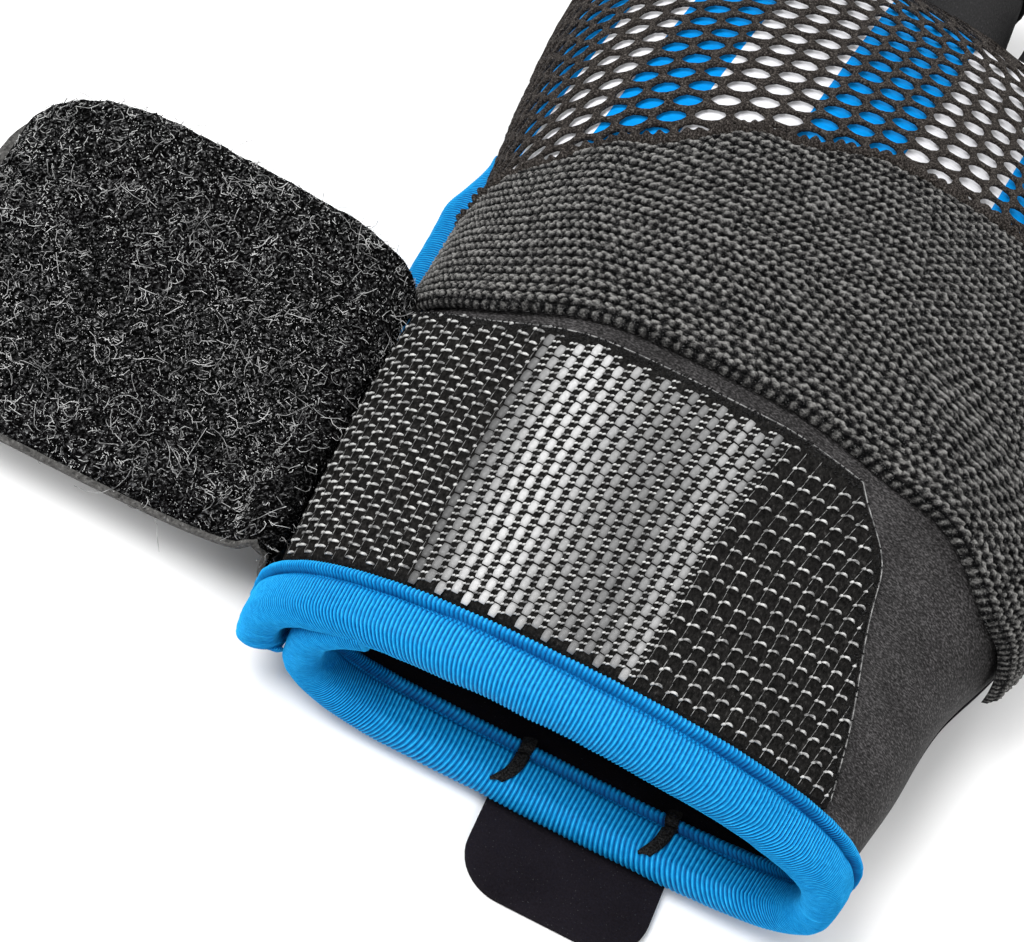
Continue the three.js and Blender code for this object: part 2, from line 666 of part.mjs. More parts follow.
// Net of six-sided cells in staggered rows, with a plain hem at its first and last rows.
function netOverlay() {
  const points = 2 * netColumns;
  const positions = [];
  const index = [];
  const ids = new Map();
  const place = (u, v, face) => {
    const start = tableValue(bandEdges, "across", "high", u) * handLength;
    const y = mix(start - netLap, netEnd * handLength, v);
    const lift = mix(netLift(u), netRest, ease(y, start + netDropFrom, start + netDropTo));
    return handPoint(y, backAngle(y, u), lift + (face ? netThickness : 0));
  };
  const vertex = (key, u, v) => {
    if (!ids.has(key)) {
      ids.set(key, positions.length / 3);
      positions.push(...place(u, v, 0), ...place(u, v, 1));
    }
    return ids.get(key);
  };
  const face = (corners) => {
    for (let k = 1; k < corners.length - 1; k += 1) {
      index.push(corners[0] + 1, corners[k] + 1, corners[k + 1] + 1);
      index.push(corners[0], corners[k + 1], corners[k]);
    }
  };
  const side = (a, b) => index.push(a, b, b + 1, a, b + 1, a + 1);
  const rowHeight = (1 - 2 * netHem) / netRows;
  const corner = (k, j) => {
    const zigzag = ((k + j) % 2 === 0 ? 1 : -1) * netZigzag * rowHeight;
    return [k / points, netHem + j * rowHeight + zigzag];
  };
  const knot = (k, j) => vertex(`knot ${k} ${j}`, ...corner(k, j));
  const hem = (k, v) => vertex(`hem ${k} ${v}`, k / points, v);
  for (let k = 0; k < points; k += 1) {
    face([hem(k, 0), hem(k + 1, 0), knot(k + 1, 0), knot(k, 0)]);
    face([knot(k, netRows), knot(k + 1, netRows), hem(k + 1, 1), hem(k, 1)]);
    side(hem(k, 0), hem(k + 1, 0));
    side(hem(k + 1, 1), hem(k, 1));
  }
  for (const k of [0, points]) {
    const edge = [hem(k, 0)];
    for (let j = 0; j <= netRows; j += 1) edge.push(knot(k, j));
    edge.push(hem(k, 1));
    for (let i = 0; i < edge.length - 1; i += 1)
      if (k === 0) side(edge[i + 1], edge[i]);
      else side(edge[i], edge[i + 1]);
  }
  for (let j = 0; j < netRows; j += 1) {
    const shift = j % 2;
    if (shift === 1)
      for (const k of [0, points - 1])
        face([knot(k, j), knot(k + 1, j), knot(k + 1, j + 1), knot(k, j + 1)]);
    for (let k = shift; k + 2 <= points; k += 2) {
      const ring = [
        [k, j],
        [k + 1, j],
        [k + 2, j],
        [k + 2, j + 1],
        [k + 1, j + 1],
        [k, j + 1],
      ];
      const spots = ring.map(([a, b]) => corner(a, b));
      const middleU = spots.reduce((sum, [u]) => sum + u, 0) / 6;
      const middleV = spots.reduce((sum, [, v]) => sum + v, 0) / 6;
      const rim = ring.map(([a, b]) => knot(a, b));
      const hole = spots.map(([u, v], i) =>
        vertex(`hole ${k} ${j} ${i}`, mix(middleU, u, netOpen), mix(middleV, v, netOpen)),
      );
      for (let i = 0; i < 6; i += 1) {
        const next = (i + 1) % 6;
        face([rim[i], rim[next], hole[next], hole[i]]);
        side(hole[next], hole[i]);
      }
    }
  }
  addPiece("net_overlay", closedGeometry(positions, index), "net");
}

// The strap's path in the upright plane, from its seam on the side of the cuff to its free end.
function strapLine(y, u) {
  const onBand = ease(y, bandStart - strapClimb, bandStart - strapSettle);
  const under = mix(gap + bindingCloth, bandLift(1) + bandThickness, onBand);
  const clear = under + strapGap + strapBacking;
  const across = THREE.MathUtils.clamp((y - strapStart) / strapWidth, 0, 1);
  const anchors = strapSeam.map(({ near, far }) =>
    handPoint(y, seamAngle(y, leftSeam, mix(near, far, across) * sideHeight), clear),
  );
  const lean = strapPitch * (y - strapStart - strapWidth / 2);
  const base = anchors[anchors.length - 1];
  for (const row of strapPath)
    anchors.push(
      new THREE.Vector3(
        base.x - row.out * strapReach,
        y,
        base.z + row.up * strapRise + row.tilt * lean,
      ),
    );
  const curve = new THREE.CatmullRomCurve3(anchors, false, "centripetal");
  return { point: curve.getPointAt(u), along: curve.getTangentAt(u) };
}

// Point on the strap at share u of its length and w from -1 to 1 across it, offset from its lower face.
function strapPoint(u, w, inset, offset) {
  const left = (1 - u) * (strapReach + strapRise);
  const short = Math.max(strapCorner - left, 0);
  const round = strapCorner - Math.sqrt(strapCorner ** 2 - short ** 2);
  const y = strapStart + strapWidth / 2 + w * (strapWidth / 2 - round - inset);
  const { point, along } = strapLine(y, u);
  return point.add(new THREE.Vector3(along.z, 0, -along.x).normalize().multiplyScalar(offset));
}

function strap() {
  const stations = 18;
  const pileFirst = 3; // the pile covers the stations from the crease beside the cuff to near the free end
  const pileLast = 17;
  const share = (station) => 1 - (1 - station / stations) ** strapCrowding;
  const backing = sheetGeometry(stations, 5, (u, v, face) =>
    strapPoint(share(u * stations), mix(-1, 1, v), 0, face ? strapBacking : 0),
  );
  addPiece("strap_backing", backing, "backing");
  const pile = sheetGeometry(pileLast - pileFirst, 5, (u, v, face) => {
    const edge = v === 0 || v === 1 || u === 0 || u === 1 ? pileEdge : 1;
    const height = strapBacking + pileGap + (face ? pileThickness * edge : 0);
    return strapPoint(share(mix(pileFirst, pileLast, u)), mix(-1, 1, v), pileMargin, height);
  });
  addPiece("strap_pile", pile, "pile");
}

function pullTab() {
  const shape = new THREE.Shape();
  const left = tabCentre - tabWidth / 2;
  const right = tabCentre + tabWidth / 2;
  shape.moveTo(left, tabRoot);
  shape.lineTo(left, tabCorner - tabReach);
  shape.absarc(left + tabCorner, tabCorner - tabReach, tabCorner, Math.PI, 1.5 * Math.PI);
  shape.absarc(right - tabCorner, tabCorner - tabReach, tabCorner, 1.5 * Math.PI, 2 * Math.PI);
  shape.lineTo(right, tabRoot);
  shape.closePath();
  const geometry = new THREE.ExtrudeGeometry(shape, {
    depth: tabThickness,
    bevelEnabled: false,
    curveSegments: 6,
  });
  geometry.translate(0, 0, tabClearance);
  addPiece("pull_tab", geometryOf(solidOf(geometry)), "suede");
}

// Angle under the palm whose point on the outline lies at x.
function underAngle(y, x) {
  const left = sectionValue("left", y) * palmWidth;
  const right = sectionValue("right", y) * palmWidth;
  const share = (2 * x - right + left) / (right + left);
  const depth = (1 - Math.abs(share) ** underFullness) ** (1 / underFullness);
  return -Math.atan2(depth, share) / degrees;
}

// Short rows of thread across the palm's binding, one at each side of the pull tab.
function barTacks() {
  const seat = -wall - bindingCloth - 2 * gap;
  const tackLength = tackShare * bindingWidth;
  for (const [name, across] of [
    ["bar_tack_left", tabCentre - tackSpacing / 2],
    ["bar_tack_right", tabCentre + tackSpacing / 2],
  ]) {
    const tack = sheetGeometry(1, 2, (u, v, face) => {
      const y = bindingWidth / 2 + (v - 0.5) * tackLength;
      const turn = underAngle(y, across + (u - 0.5) * tackWidth);
      return handPoint(y, turn, seat - (face ? 0 : tackHeight));
    });
    addPiece(name, tack, "thread");
  }
}

function fingerSleeves() {
  for (const finger of fingers) {
    const sleeve = tubeGeometry(boreSides, 1, (t, angle, face) =>
      fingerPoint(finger, t, angle, face ? 0 : -sleeveWall),
    );
    addPiece(`${finger.name}_sleeve`, sleeve, "stretch");
    const length = fingerLength * finger.reach;
    const hem = tubeGeometry(boreSides, 1, (t, angle, face) =>
      fingerPoint(finger, 1 - ((1 - t) * hemWidth) / length, angle, gap + (face ? hemThickness : 0)),
    );
    addPiece(`${finger.name}_hem`, hem, "stretch");
  }
}

function thumb() {
  const outside = handSolid(gap);
  const sleeve = tubeGeometry(boreSides, 4, (t, angle, face) =>
    thumbPoint(t * thumbLength, angle, face ? 0 : -sleeveWall),
  );
  addPiece("thumb_sleeve", geometryOf(solidOf(sleeve).subtract(outside)), "stretch");
  const hem = tubeGeometry(boreSides, 1, (t, angle, face) =>
    thumbPoint(thumbLength - (1 - t) * hemWidth, angle, gap + (face ? hemThickness : 0)),
  );
  addPiece("thumb_hem", hem, "stretch");
}

// The hand's closed outside form, grown by a clearance.
function handSolid(grow) {
  return plugSolid(36, 20, (t, angle) => handPoint(mix(0, handLength + 1, t), angle, grow));
}

palmPanel();
backPanel();
cuffBack();
bindings();
slitBinding();
elasticBand();
hookPatch();
netOverlay();
strap();
pullTab();
barTacks();
fingerSleeves();
thumb();

export default glove;
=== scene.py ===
import math

import bpy
import numpy as np
from mathutils import Matrix, Vector


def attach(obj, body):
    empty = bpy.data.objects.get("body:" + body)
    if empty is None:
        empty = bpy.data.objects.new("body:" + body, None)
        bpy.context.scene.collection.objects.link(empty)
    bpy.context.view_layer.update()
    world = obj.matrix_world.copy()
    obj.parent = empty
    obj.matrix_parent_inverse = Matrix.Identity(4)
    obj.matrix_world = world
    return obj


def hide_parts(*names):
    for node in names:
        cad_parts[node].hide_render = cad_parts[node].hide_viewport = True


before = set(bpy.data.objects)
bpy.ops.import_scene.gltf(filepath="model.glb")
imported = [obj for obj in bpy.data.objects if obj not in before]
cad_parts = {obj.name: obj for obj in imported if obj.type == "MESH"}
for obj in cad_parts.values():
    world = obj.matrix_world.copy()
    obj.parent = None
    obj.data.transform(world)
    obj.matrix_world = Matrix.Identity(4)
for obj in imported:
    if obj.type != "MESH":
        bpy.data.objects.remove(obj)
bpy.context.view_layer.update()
print("frame loaded:", len(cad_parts), "solids")

mm = 0.001
hand = {
    "length": 164, "width": 92, "thickness": 38, "origin": 90, "wall": 1.8, "gap": 0.4,
    "sideShare": 0.33, "crownFullness": 2.35, "underFullness": 3.4, "wristLift": 3.1,
    "cuffLength": 62, "edgeSetback": 2, "seamDrop": 1.2, "cuffLap": 6.4,
    "palmRise": 3.2, "palmTuck": 7, "tuckFrom": 0.4, "slitLength": 103, "slitParting": 1.7,
    "slitFlare": 4.2, "slitFlareFrom": 60.5, "slitFlareRise": 11, "slitFlareFall": 16,
}
sectionRows = [  # left and right are shares of width, under of wristLift, crown of thickness
    {"along": 0.0, "left": 0.463, "right": 0.46, "under": 1.0, "crown": 0.67},
    {"along": 0.05, "left": 0.467, "right": 0.475, "under": 1.0, "crown": 0.7},
    {"along": 0.12, "left": 0.474, "right": 0.503, "under": -0.25, "crown": 0.73},
    {"along": 0.22, "left": 0.48, "right": 0.535, "under": -0.25, "crown": 0.785},
    {"along": 0.32, "left": 0.478, "right": 0.6, "under": -0.25, "crown": 0.86},
    {"along": 0.42, "left": 0.468, "right": 0.645, "under": -0.25, "crown": 0.93},
    {"along": 0.54, "left": 0.468, "right": 0.63, "under": -0.25, "crown": 0.98},
    {"along": 0.66, "left": 0.486, "right": 0.56, "under": -0.25, "crown": 1.0},
    {"along": 0.78, "left": 0.497, "right": 0.51, "under": -0.25, "crown": 0.95},
    {"along": 0.9, "left": 0.49, "right": 0.495, "under": -0.25, "crown": 0.84},
    {"along": 0.97, "left": 0.482, "right": 0.485, "under": 0.0, "crown": 0.72},
    {"along": 1.0, "left": 0.475, "right": 0.478, "under": 0.25, "crown": 0.635},
]
bandRows = [  # edges of the elastic band as shares of length, from the thumb side across the back
    {"across": 0.0, "low": 0.27, "high": 0.62},
    {"across": 0.18, "low": 0.288, "high": 0.659},
    {"across": 0.34, "low": 0.334, "high": 0.659},
    {"across": 0.5, "low": 0.354, "high": 0.624},
    {"across": 0.66, "low": 0.357, "high": 0.563},
    {"across": 0.8, "low": 0.338, "high": 0.52},
    {"across": 1.0, "low": 0.348, "high": 0.475},
]
sideHeight = hand["sideShare"] * hand["thickness"]


def column(rows, name):
    return np.array([row[name] for row in rows], float)


def mix(a, b, t):
    return a + (b - a) * t


def ease(x, low, high):
    t = np.clip((np.asarray(x, float) - low) / (high - low), 0, 1)
    return t * t * (3 - 2 * t)


def sectionValue(name, y):
    along = np.clip(np.asarray(y, float) / hand["length"], 0, 1)
    keys = column(sectionRows, "along")
    values = column(sectionRows, name)
    b = np.clip(np.searchsorted(keys, along, side="left") - 1, 0, len(keys) - 2)
    a, c, d = np.maximum(b - 1, 0), b + 1, np.minimum(b + 2, len(keys) - 1)
    span = keys[c] - keys[b]
    t = (along - keys[b]) / span
    slopeB = span * (values[c] - values[a]) / (keys[c] - keys[a])
    slopeC = span * (values[d] - values[b]) / (keys[d] - keys[b])
    start = (2 * t**3 - 3 * t**2 + 1) * values[b] + (t**3 - 2 * t**2 + t) * slopeB
    return start + (3 * t**2 - 2 * t**3) * values[c] + (t**3 - t**2) * slopeC


def slitOut(y):  # how far the palm panel's free edge stands out beside the band, from 0 to 1
    rise = ease(y, hand["slitFlareFrom"], hand["slitFlareFrom"] + hand["slitFlareRise"])
    fall = ease(y, hand["slitLength"] - hand["slitFlareFall"], hand["slitLength"] + hand["gap"])
    return rise * (1 - fall)


def handPoint(y, angle, grow=0.0, tuck=0.0):  # the hand's outline, grown outwards
    left = sectionValue("left", y) * hand["width"]
    right = sectionValue("right", y) * hand["width"]
    c, s = np.cos(np.radians(angle)), np.sin(np.radians(angle))
    crown = sectionValue("crown", y) * hand["thickness"] - sideHeight
    under = sideHeight - sectionValue("under", y) * hand["wristLift"]
    height = np.where(s >= 0, crown, under)
    fullness = np.where(s >= 0, hand["crownFullness"], hand["underFullness"])
    reach = (np.abs(c) ** fullness + np.abs(s) ** fullness) ** (-1 / fullness)
    x = (right - left) / 2 + ((right + left) / 2 + grow) * reach * c
    z = sideHeight + (height + grow) * reach * s
    if tuck > 0:
        towardsEdge = ease(-x / left, hand["tuckFrom"], 1)
        moved = tuck * (1 - ease(y, 0, hand["cuffLength"])) - hand["slitFlare"] * slitOut(y)
        x = np.where(x < 0, x + towardsEdge * moved, x)
    return x, y + 0 * x, np.where(np.asarray(grow) > 0, z, np.maximum(z, -np.asarray(grow)))


def seamAngle(y, side, drop):  # puts an edge a distance below, or above, the widest line at the side
    above = sectionValue("crown", y) * hand["thickness"] - sideHeight
    turn = np.degrees(drop / np.where(np.asarray(drop) > 0, sideHeight, above))
    return -turn if side == 0 else 180 + turn


def cuffLeftDrop(y):
    return mix(hand["cuffLap"], hand["seamDrop"], ease(y, 0, hand["cuffLength"] * 0.6))


def palmLeftDrop(y):
    slitDrop = hand["seamDrop"] + hand["slitParting"] + hand["gap"] + binding["cloth"]
    opened = mix(-hand["palmRise"], slitDrop, ease(y, 0, hand["cuffLength"] * 0.5))
    settled = mix(hand["slitLength"], hand["length"], 0.14)
    return mix(opened, hand["seamDrop"] + hand["gap"], ease(y, hand["slitLength"], settled))


def alongTable(rows, key, name, t):
    keys, values = column(rows, key), column(rows, name)
    i = np.clip(np.searchsorted(keys, t, side="left") - 1, 0, len(keys) - 2)
    share = np.clip((t - keys[i]) / (keys[i + 1] - keys[i]), 0, 1)
    return mix(values[i], values[i + 1], share * share * (3 - 2 * share))


binding = {
    "width": 6.8, "fold": 3.8, "cloth": 1.1, "ridge": 2.1, "ridgeRise": 0.55, "groove": 1.0,
    "grooveWidth": 0.34, "grooveWander": 0.16, "bulge": 0.35, "bendShare": 0.3, "tapeWall": 0.8,
    "ribPitch": 0.47, "ribHeight": 0.1, "endLap": 6.0, "backLength": 118, "palmLength": 104, "slitLength": 90,
}
thumb = {
    "length": 52, "width": 27, "height": 22, "taper": 0.95, "flare": 0.3, "heading": 44, "clearance": 3,
    "rootAcross": 0.43, "rootAlong": 0.5, "boreDepth": 44, "sleeveFrom": 4,
}
band = {
    "thickness": 1.8, "rest": 0.72, "flare": 0.56, "ribPitch": 1.72, "stitchPitch": 1.34, "relief": 0.62,
    "rough": 0.16, "skew": 0.55, "hollow": 0.25, "edgeRound": 1.6, "width": 118, "length": 56, "margin": 4,
    "clearFrom": 0.34, "clearTo": 0.5,
}


def backAngle(y, u):  # u is 0 above the thumb and 1 at the little-finger side
    clear = ease(y, band["clearFrom"] * hand["length"], band["clearTo"] * hand["length"])
    above = sectionValue("crown", y) * hand["thickness"] - sideHeight
    rise = np.minimum((thumb["height"] / 2 + thumb["clearance"]) / above, 1)
    start = mix(seamAngle(y, 0, -hand["gap"] / 2), np.degrees(np.arcsin(rise)), clear)
    return mix(start, 180 - band["margin"], u)


def bandLift(u):
    return band["rest"] + band["flare"] * ease(0.4 - np.asarray(u), 0, 0.3)


def drift(x, y, scale, seed):  # smooth random height from -1 to 1, with bumps about scale apart
    lattice = np.random.RandomState(seed).uniform(-1, 1, (64, 64))
    x, y = np.asarray(x, float) / scale, np.asarray(y, float) / scale
    i, j = np.floor(x).astype(int), np.floor(y).astype(int)
    s, t = ease(x - i, 0, 1), ease(y - j, 0, 1)
    near = mix(lattice[i % 64, j % 64], lattice[(i + 1) % 64, j % 64], s)
    far = mix(lattice[i % 64, (j + 1) % 64], lattice[(i + 1) % 64, (j + 1) % 64], s)
    return mix(near, far, t)


def toFrame(x, y, z):
    x, y, z = np.broadcast_arrays(x, y, z)
    return np.stack([x, y - hand["origin"], z], -1) * mm


def roundedEdge(distance, radius):  # rises as a quarter circle, from 0 at a cloth's edge to 1
    return np.sqrt(1 - (1 - np.clip(distance / radius, 0, 1)) ** 2)


def onlyThis(piece):
    bpy.ops.object.select_all(action="DESELECT")
    piece.select_set(True)
    bpy.context.view_layer.objects.active = piece


def inEdit(piece, *steps):  # each step is an operator and its settings, run on the whole mesh
    onlyThis(piece)
    bpy.ops.object.mode_set(mode="EDIT")
    bpy.ops.mesh.select_all(action="SELECT")
    for operator, settings in steps:
        operator(**settings)
    bpy.ops.object.mode_set(mode="OBJECT")


outwards = (bpy.ops.mesh.normals_make_consistent, {"inside": False})
holesClosed = [
    (bpy.ops.mesh.select_all, {"action": "DESELECT"}), (bpy.ops.mesh.select_non_manifold, {}),
    (bpy.ops.mesh.edge_face_add, {}), (bpy.ops.mesh.select_all, {"action": "SELECT"}), outwards,
]


def modified(piece, kind, **settings):  # adds a modifier and applies it
    onlyThis(piece)
    added = piece.modifiers.new(kind.title(), kind)
    for name, value in settings.items():
        setattr(added, name, value)
    bpy.ops.object.modifier_apply(modifier=added.name)


def walled(piece, thickness):  # the wall grows inwards from the laid face
    modified(piece, "SOLIDIFY", thickness=thickness * mm, offset=-1, use_even_offset=False)


def bevelled(piece, width, segments):
    settings = {"limit_method": "ANGLE", "angle_limit": math.radians(50)}
    modified(piece, "BEVEL", width=width * mm, segments=segments, **settings)


def meshPiece(name, spots, faces):
    mesh = bpy.data.meshes.new(name)
    mesh.from_pydata(spots, [], faces)
    piece = bpy.data.objects.new(name, mesh)
    bpy.context.scene.collection.objects.link(piece)
    return piece


def spotsOf(piece):
    spots = np.empty(len(piece.data.vertices) * 3)
    piece.data.vertices.foreach_get("co", spots)
    return spots.reshape(-1, 3)


def placeSpots(piece, spots):
    piece.data.vertices.foreach_set("co", np.ascontiguousarray(spots, float).ravel())
    piece.data.update()


def clothGrid(name, columns, rows, place, size, closed=False):  # size is the cloth's flat size in mm
    bpy.ops.object.select_all(action="DESELECT")
    bpy.ops.mesh.primitive_grid_add(x_subdivisions=columns, y_subdivisions=rows, size=1)
    piece = bpy.context.object
    piece.name = piece.data.name = name
    flat = spotsOf(piece)
    x, y, z, *relief = place(flat[:, 0] + 0.5, flat[:, 1] + 0.5)
    placeSpots(piece, toFrame(x, y, z))
    if relief:  # how high each spot of the weave stands, from 0 to 1, with painted shade mixed in on some cloths; finishes that read it paint low spots dark and crests light
        heights = np.clip(np.broadcast_to(relief[0], flat[:, 0].shape), 0, 1)
        stored = piece.data.attributes.new("relief", "FLOAT", "POINT")
        stored.data.foreach_set("value", heights.astype(float))
    layer = piece.data.uv_layers[0]
    layer.name = "cloth"
    spread = np.empty(len(layer.data) * 2)
    layer.data.foreach_get("uv", spread)
    layer.data.foreach_set("uv", (spread.reshape(-1, 2) * size).ravel())
    if closed:
        inEdit(piece, (bpy.ops.mesh.remove_doubles, {"threshold": 0.002 * mm}))
    return piece


def smoothed(piece, angle=60):
    onlyThis(piece)
    bpy.ops.object.shade_smooth_by_angle(angle=math.radians(angle))
    return piece


def threads(name, lines, ups, widths, depths, sides=4):  # tubes along lines, which are thread, step, xyz
    lines = np.asarray(lines, float)
    count, steps = lines.shape[:2]
    along = np.gradient(lines, axis=1)
    along /= np.maximum(np.linalg.norm(along, axis=2, keepdims=True), 1e-9)
    ups = np.broadcast_to(np.asarray(ups, float)[:, None, :], lines.shape)
    across = np.cross(along, ups)
    across /= np.maximum(np.linalg.norm(across, axis=2, keepdims=True), 1e-9)
    outward = np.cross(across, along)
    turn = 2 * math.pi * (np.arange(sides) + 0.5) / sides
    widths = np.broadcast_to(widths, (count, steps))[:, :, None, None]
    depths = np.broadcast_to(depths, (count, steps))[:, :, None, None]
    c, s = np.cos(turn)[None, None, :, None], np.sin(turn)[None, None, :, None]
    rings = lines[:, :, None, :] + across[:, :, None, :] * widths * c + outward[:, :, None, :] * depths * s
    first = (np.arange(count) * steps * sides)[:, None, None]
    i, k = np.meshgrid(np.arange(steps - 1), np.arange(sides), indexing="ij")
    a, b = i * sides + k, i * sides + (k + 1) % sides
    quads = (np.stack([a, b, b + sides, a + sides], -1).reshape(1, -1, 4) + first).reshape(-1, 4)
    caps = np.stack([np.arange(sides)[::-1], (steps - 1) * sides + np.arange(sides)])
    caps = (caps[None] + first).reshape(-1, sides)
    spots = toFrame(*rings.reshape(-1, 3).T)
    piece = meshPiece(name, spots.tolist(), quads.tolist() + caps.tolist())
    onlyThis(piece)
    bpy.ops.object.shade_smooth()
    inEdit(piece, outwards)
    return piece


def arcs(centres, alongs, ups, length, rise, steps):  # short bent lines standing on a surface
    t = np.linspace(-1, 1, steps)[None, :, None]
    return centres[:, None] + alongs[:, None] * t * length / 2 + ups[:, None] * rise * (1 - t * t)


def basis(point, first, second, step=0.4):  # the surface's two directions and its normal at each spot
    here = np.stack(np.broadcast_arrays(*point(first, second)), -1)
    alongFirst = np.stack(np.broadcast_arrays(*point(first + step, second)), -1) - here
    alongSecond = np.stack(np.broadcast_arrays(*point(first, second + step)), -1) - here
    alongFirst /= np.linalg.norm(alongFirst, axis=1, keepdims=True)
    alongSecond /= np.linalg.norm(alongSecond, axis=1, keepdims=True)
    normal = np.cross(alongFirst, alongSecond)
    normal /= np.linalg.norm(normal, axis=1, keepdims=True)
    return here, alongFirst, alongSecond, normal


# Shader values: a wire carries one socket, and finishes are built from wires.
class Wire:
    def __init__(self, finish, socket):
        self.finish = finish
        self.socket = socket

    def maths(self, operation, first, second):
        return self.finish.node("ShaderNodeMath", {"operation": operation}, {0: first, 1: second})

    def __add__(self, other):
        return self.maths("ADD", self, other)

    def __radd__(self, other):
        return self.maths("ADD", other, self)

    def __sub__(self, other):
        return self.maths("SUBTRACT", self, other)

    def __rsub__(self, other):
        return self.maths("SUBTRACT", other, self)

    def __mul__(self, other):
        return self.maths("MULTIPLY", self, other)

    def __rmul__(self, other):
        return self.maths("MULTIPLY", other, self)

    def __gt__(self, other):
        return self.maths("GREATER_THAN", self, other)


class Finish:
    def __init__(self, name, **fixed):
        self.material = bpy.data.materials.new(name)
        self.material.use_nodes = True
        self.tree = self.material.node_tree
        self.shader = self.tree.nodes["Principled BSDF"]
        for socket, value in fixed.items():
            self.shader.inputs[socket.replace("_", " ")].default_value = value

    def node(self, kind, settings=None, sockets=None, output=0):
        made = self.tree.nodes.new(kind)
        for key, value in (settings or {}).items():
            if key == "stops":
                while len(made.color_ramp.elements) < len(value):
                    made.color_ramp.elements.new(1)
                for element, (place, colour) in zip(made.color_ramp.elements, value):
                    element.position = place
                    element.color = (*colour, 1) if isinstance(colour, tuple) else (colour,) * 3 + (1,)
            elif key == "interpolation":
                made.color_ramp.interpolation = value
            else:
                setattr(made, key, value)
        for key, value in (sockets or {}).items():
            if isinstance(value, Wire):
                self.tree.links.new(value.socket, made.inputs[key])
            else:
                made.inputs[key].default_value = value
        return Wire(self, made.outputs[output])

    def place(self):
        return self.node("ShaderNodeTexCoord", output="Object")

    # the stored relief, which finishes turn into painted shade in low spots and painted light on crests
    def relief(self):
        return self.node("ShaderNodeAttribute", {"attribute_name": "relief"}, output="Fac")

    def cloth(self):
        return self.node("ShaderNodeUVMap", {"uv_map": "cloth"})

    def axes(self, vector):
        split = self.node("ShaderNodeSeparateXYZ", {}, {0: vector})
        outputs = split.socket.node.outputs
        return [Wire(self, outputs[i]) for i in range(3)]

    def noise(self, vector, scale, detail=3, roughness=0.6):
        sockets = {"Vector": vector, "Scale": scale, "Detail": detail, "Roughness": roughness}
        return self.node("ShaderNodeTexNoise", {}, sockets)

    def stretched(self, vector, scale, turn=(0, 0, 0)):
        return self.node("ShaderNodeMapping", {}, {"Vector": vector, "Scale": scale, "Rotation": turn})

    def ramp(self, value, stops, interpolation="LINEAR"):
        settings = {"interpolation": interpolation, "stops": stops}
        return self.node("ShaderNodeValToRGB", settings, {0: value})

    def blend(self, share, first, second, how="MIX"):
        settings = {"data_type": "RGBA", "blend_type": how}
        return self.node("ShaderNodeMix", settings, {0: share, 6: first, 7: second}, output=2)

    def bump(self, height, strength, distance):
        return self.node("ShaderNodeBump", {}, {"Height": height, "Strength": strength, "Distance": distance})

    def feed(self, **sockets):
        for name, wire in sockets.items():
            self.tree.links.new(wire.socket, self.shader.inputs[name.replace("_", " ")])
        return self.material

    def surface(self, tone, grain, roughness, strength, distance):
        # roughness is a share of the grain and what is added to it
        rough = grain * roughness[0] + roughness[1]
        return self.feed(Base_Color=tone, Roughness=rough, Normal=self.bump(grain, strength, distance))


def grey(value):
    return (value, value, value, 1)


def blueKnit():
    finish = Finish("blue_knit", Specular_IOR_Level=0.06)
    fibre = finish.noise(finish.stretched(finish.cloth(), (4.4, 1.5, 1)), 1, 3, 0.6)
    # Painted shade and light: the stored relief with fibre noise sets the blue from dark in the rib troughs
    # and groove to light on the crests.
    crest = finish.relief() * 0.7 + fibre * 0.5
    tones = [
        (0.2, (0.0005, 0.028, 0.13)), (0.45, (0.001, 0.11, 0.31)), (0.72, (0.002, 0.21, 0.51)),
        (1.0, (0.03, 0.42, 0.78)),
    ]
    return finish.surface(finish.ramp(crest, tones), fibre, (0.2, 0.5), 0.4, 0.0002)


def blackSuede():
    finish = Finish("black_suede", Specular_IOR_Level=0.03)
    spots = finish.place()
    nap = finish.noise(spots, 3200, 5, 0.75)
    cloud = finish.noise(spots, 120, 3)
    speck = finish.noise(spots, 3400, 1) > 0.73
    tones = [(0.3, (0.005, 0.0042, 0.0055)), (0.6, (0.0125, 0.0108, 0.0145)), (0.8, (0.03, 0.026, 0.032))]
    tone = finish.blend(speck * 0.6, finish.ramp(nap * 0.7 + cloud * 0.3, tones), grey(0.08))
    return finish.surface(tone, nap, (0.1, 0.85), 0.6, 0.0003)


def jersey():
    finish = Finish("neoprene_jersey", Specular_IOR_Level=0.1)
    spots = finish.place()
    yarn = finish.noise(finish.stretched(spots, (2300, 4300, 2300), (0, 0, 0.5)), 1, 2, 0.5)
    cloud = finish.noise(spots, 60, 2)
    tones = [(0.34, (0.006, 0.0056, 0.0056)), (0.5, (0.026, 0.0248, 0.025)), (0.66, (0.085, 0.081, 0.082))]
    tone = finish.ramp(yarn * 0.75 + cloud * 0.25, tones)
    return finish.surface(tone, yarn, (0.2, 0.55), 0.45, 0.00025)


stripes = {  # places in metres across the back, at the pivot's distance along the hand
    "blue": (0.001, 0.29, 0.8), "white": (0.88, 0.88, 0.91), "low": -0.062, "high": 0.066, "slant": 0.12,
    "pivot": 0.03,
}
stripeEdges = [-0.060, -0.048, -0.038, -0.030, -0.019, -0.0047, 0.0108, 0.0263, 0.0415]


def stripedKnit():
    finish = Finish("striped_knit", Specular_IOR_Level=0.05)
    spots = finish.place()
    across, along, _ = finish.axes(spots)
    span = stripes["high"] - stripes["low"]
    stops = []
    for i, edge in enumerate(stripeEdges):
        stops.append(((edge - stripes["low"]) / span, stripes["blue" if i % 2 else "white"]))
    place = across - (along - stripes["pivot"]) * stripes["slant"]
    stripe = finish.ramp((place - stripes["low"]) * (1 / span), stops, "CONSTANT")
    knit = finish.noise(finish.stretched(spots, (900, 3600, 900)), 1, 2, 0.5)
    tone = finish.blend(0.35, stripe, finish.ramp(knit, [(0.25, 0.5), (0.7, 1.0)]), "MULTIPLY")
    return finish.surface(tone, knit, (0.15, 0.6), 0.3, 0.0002)


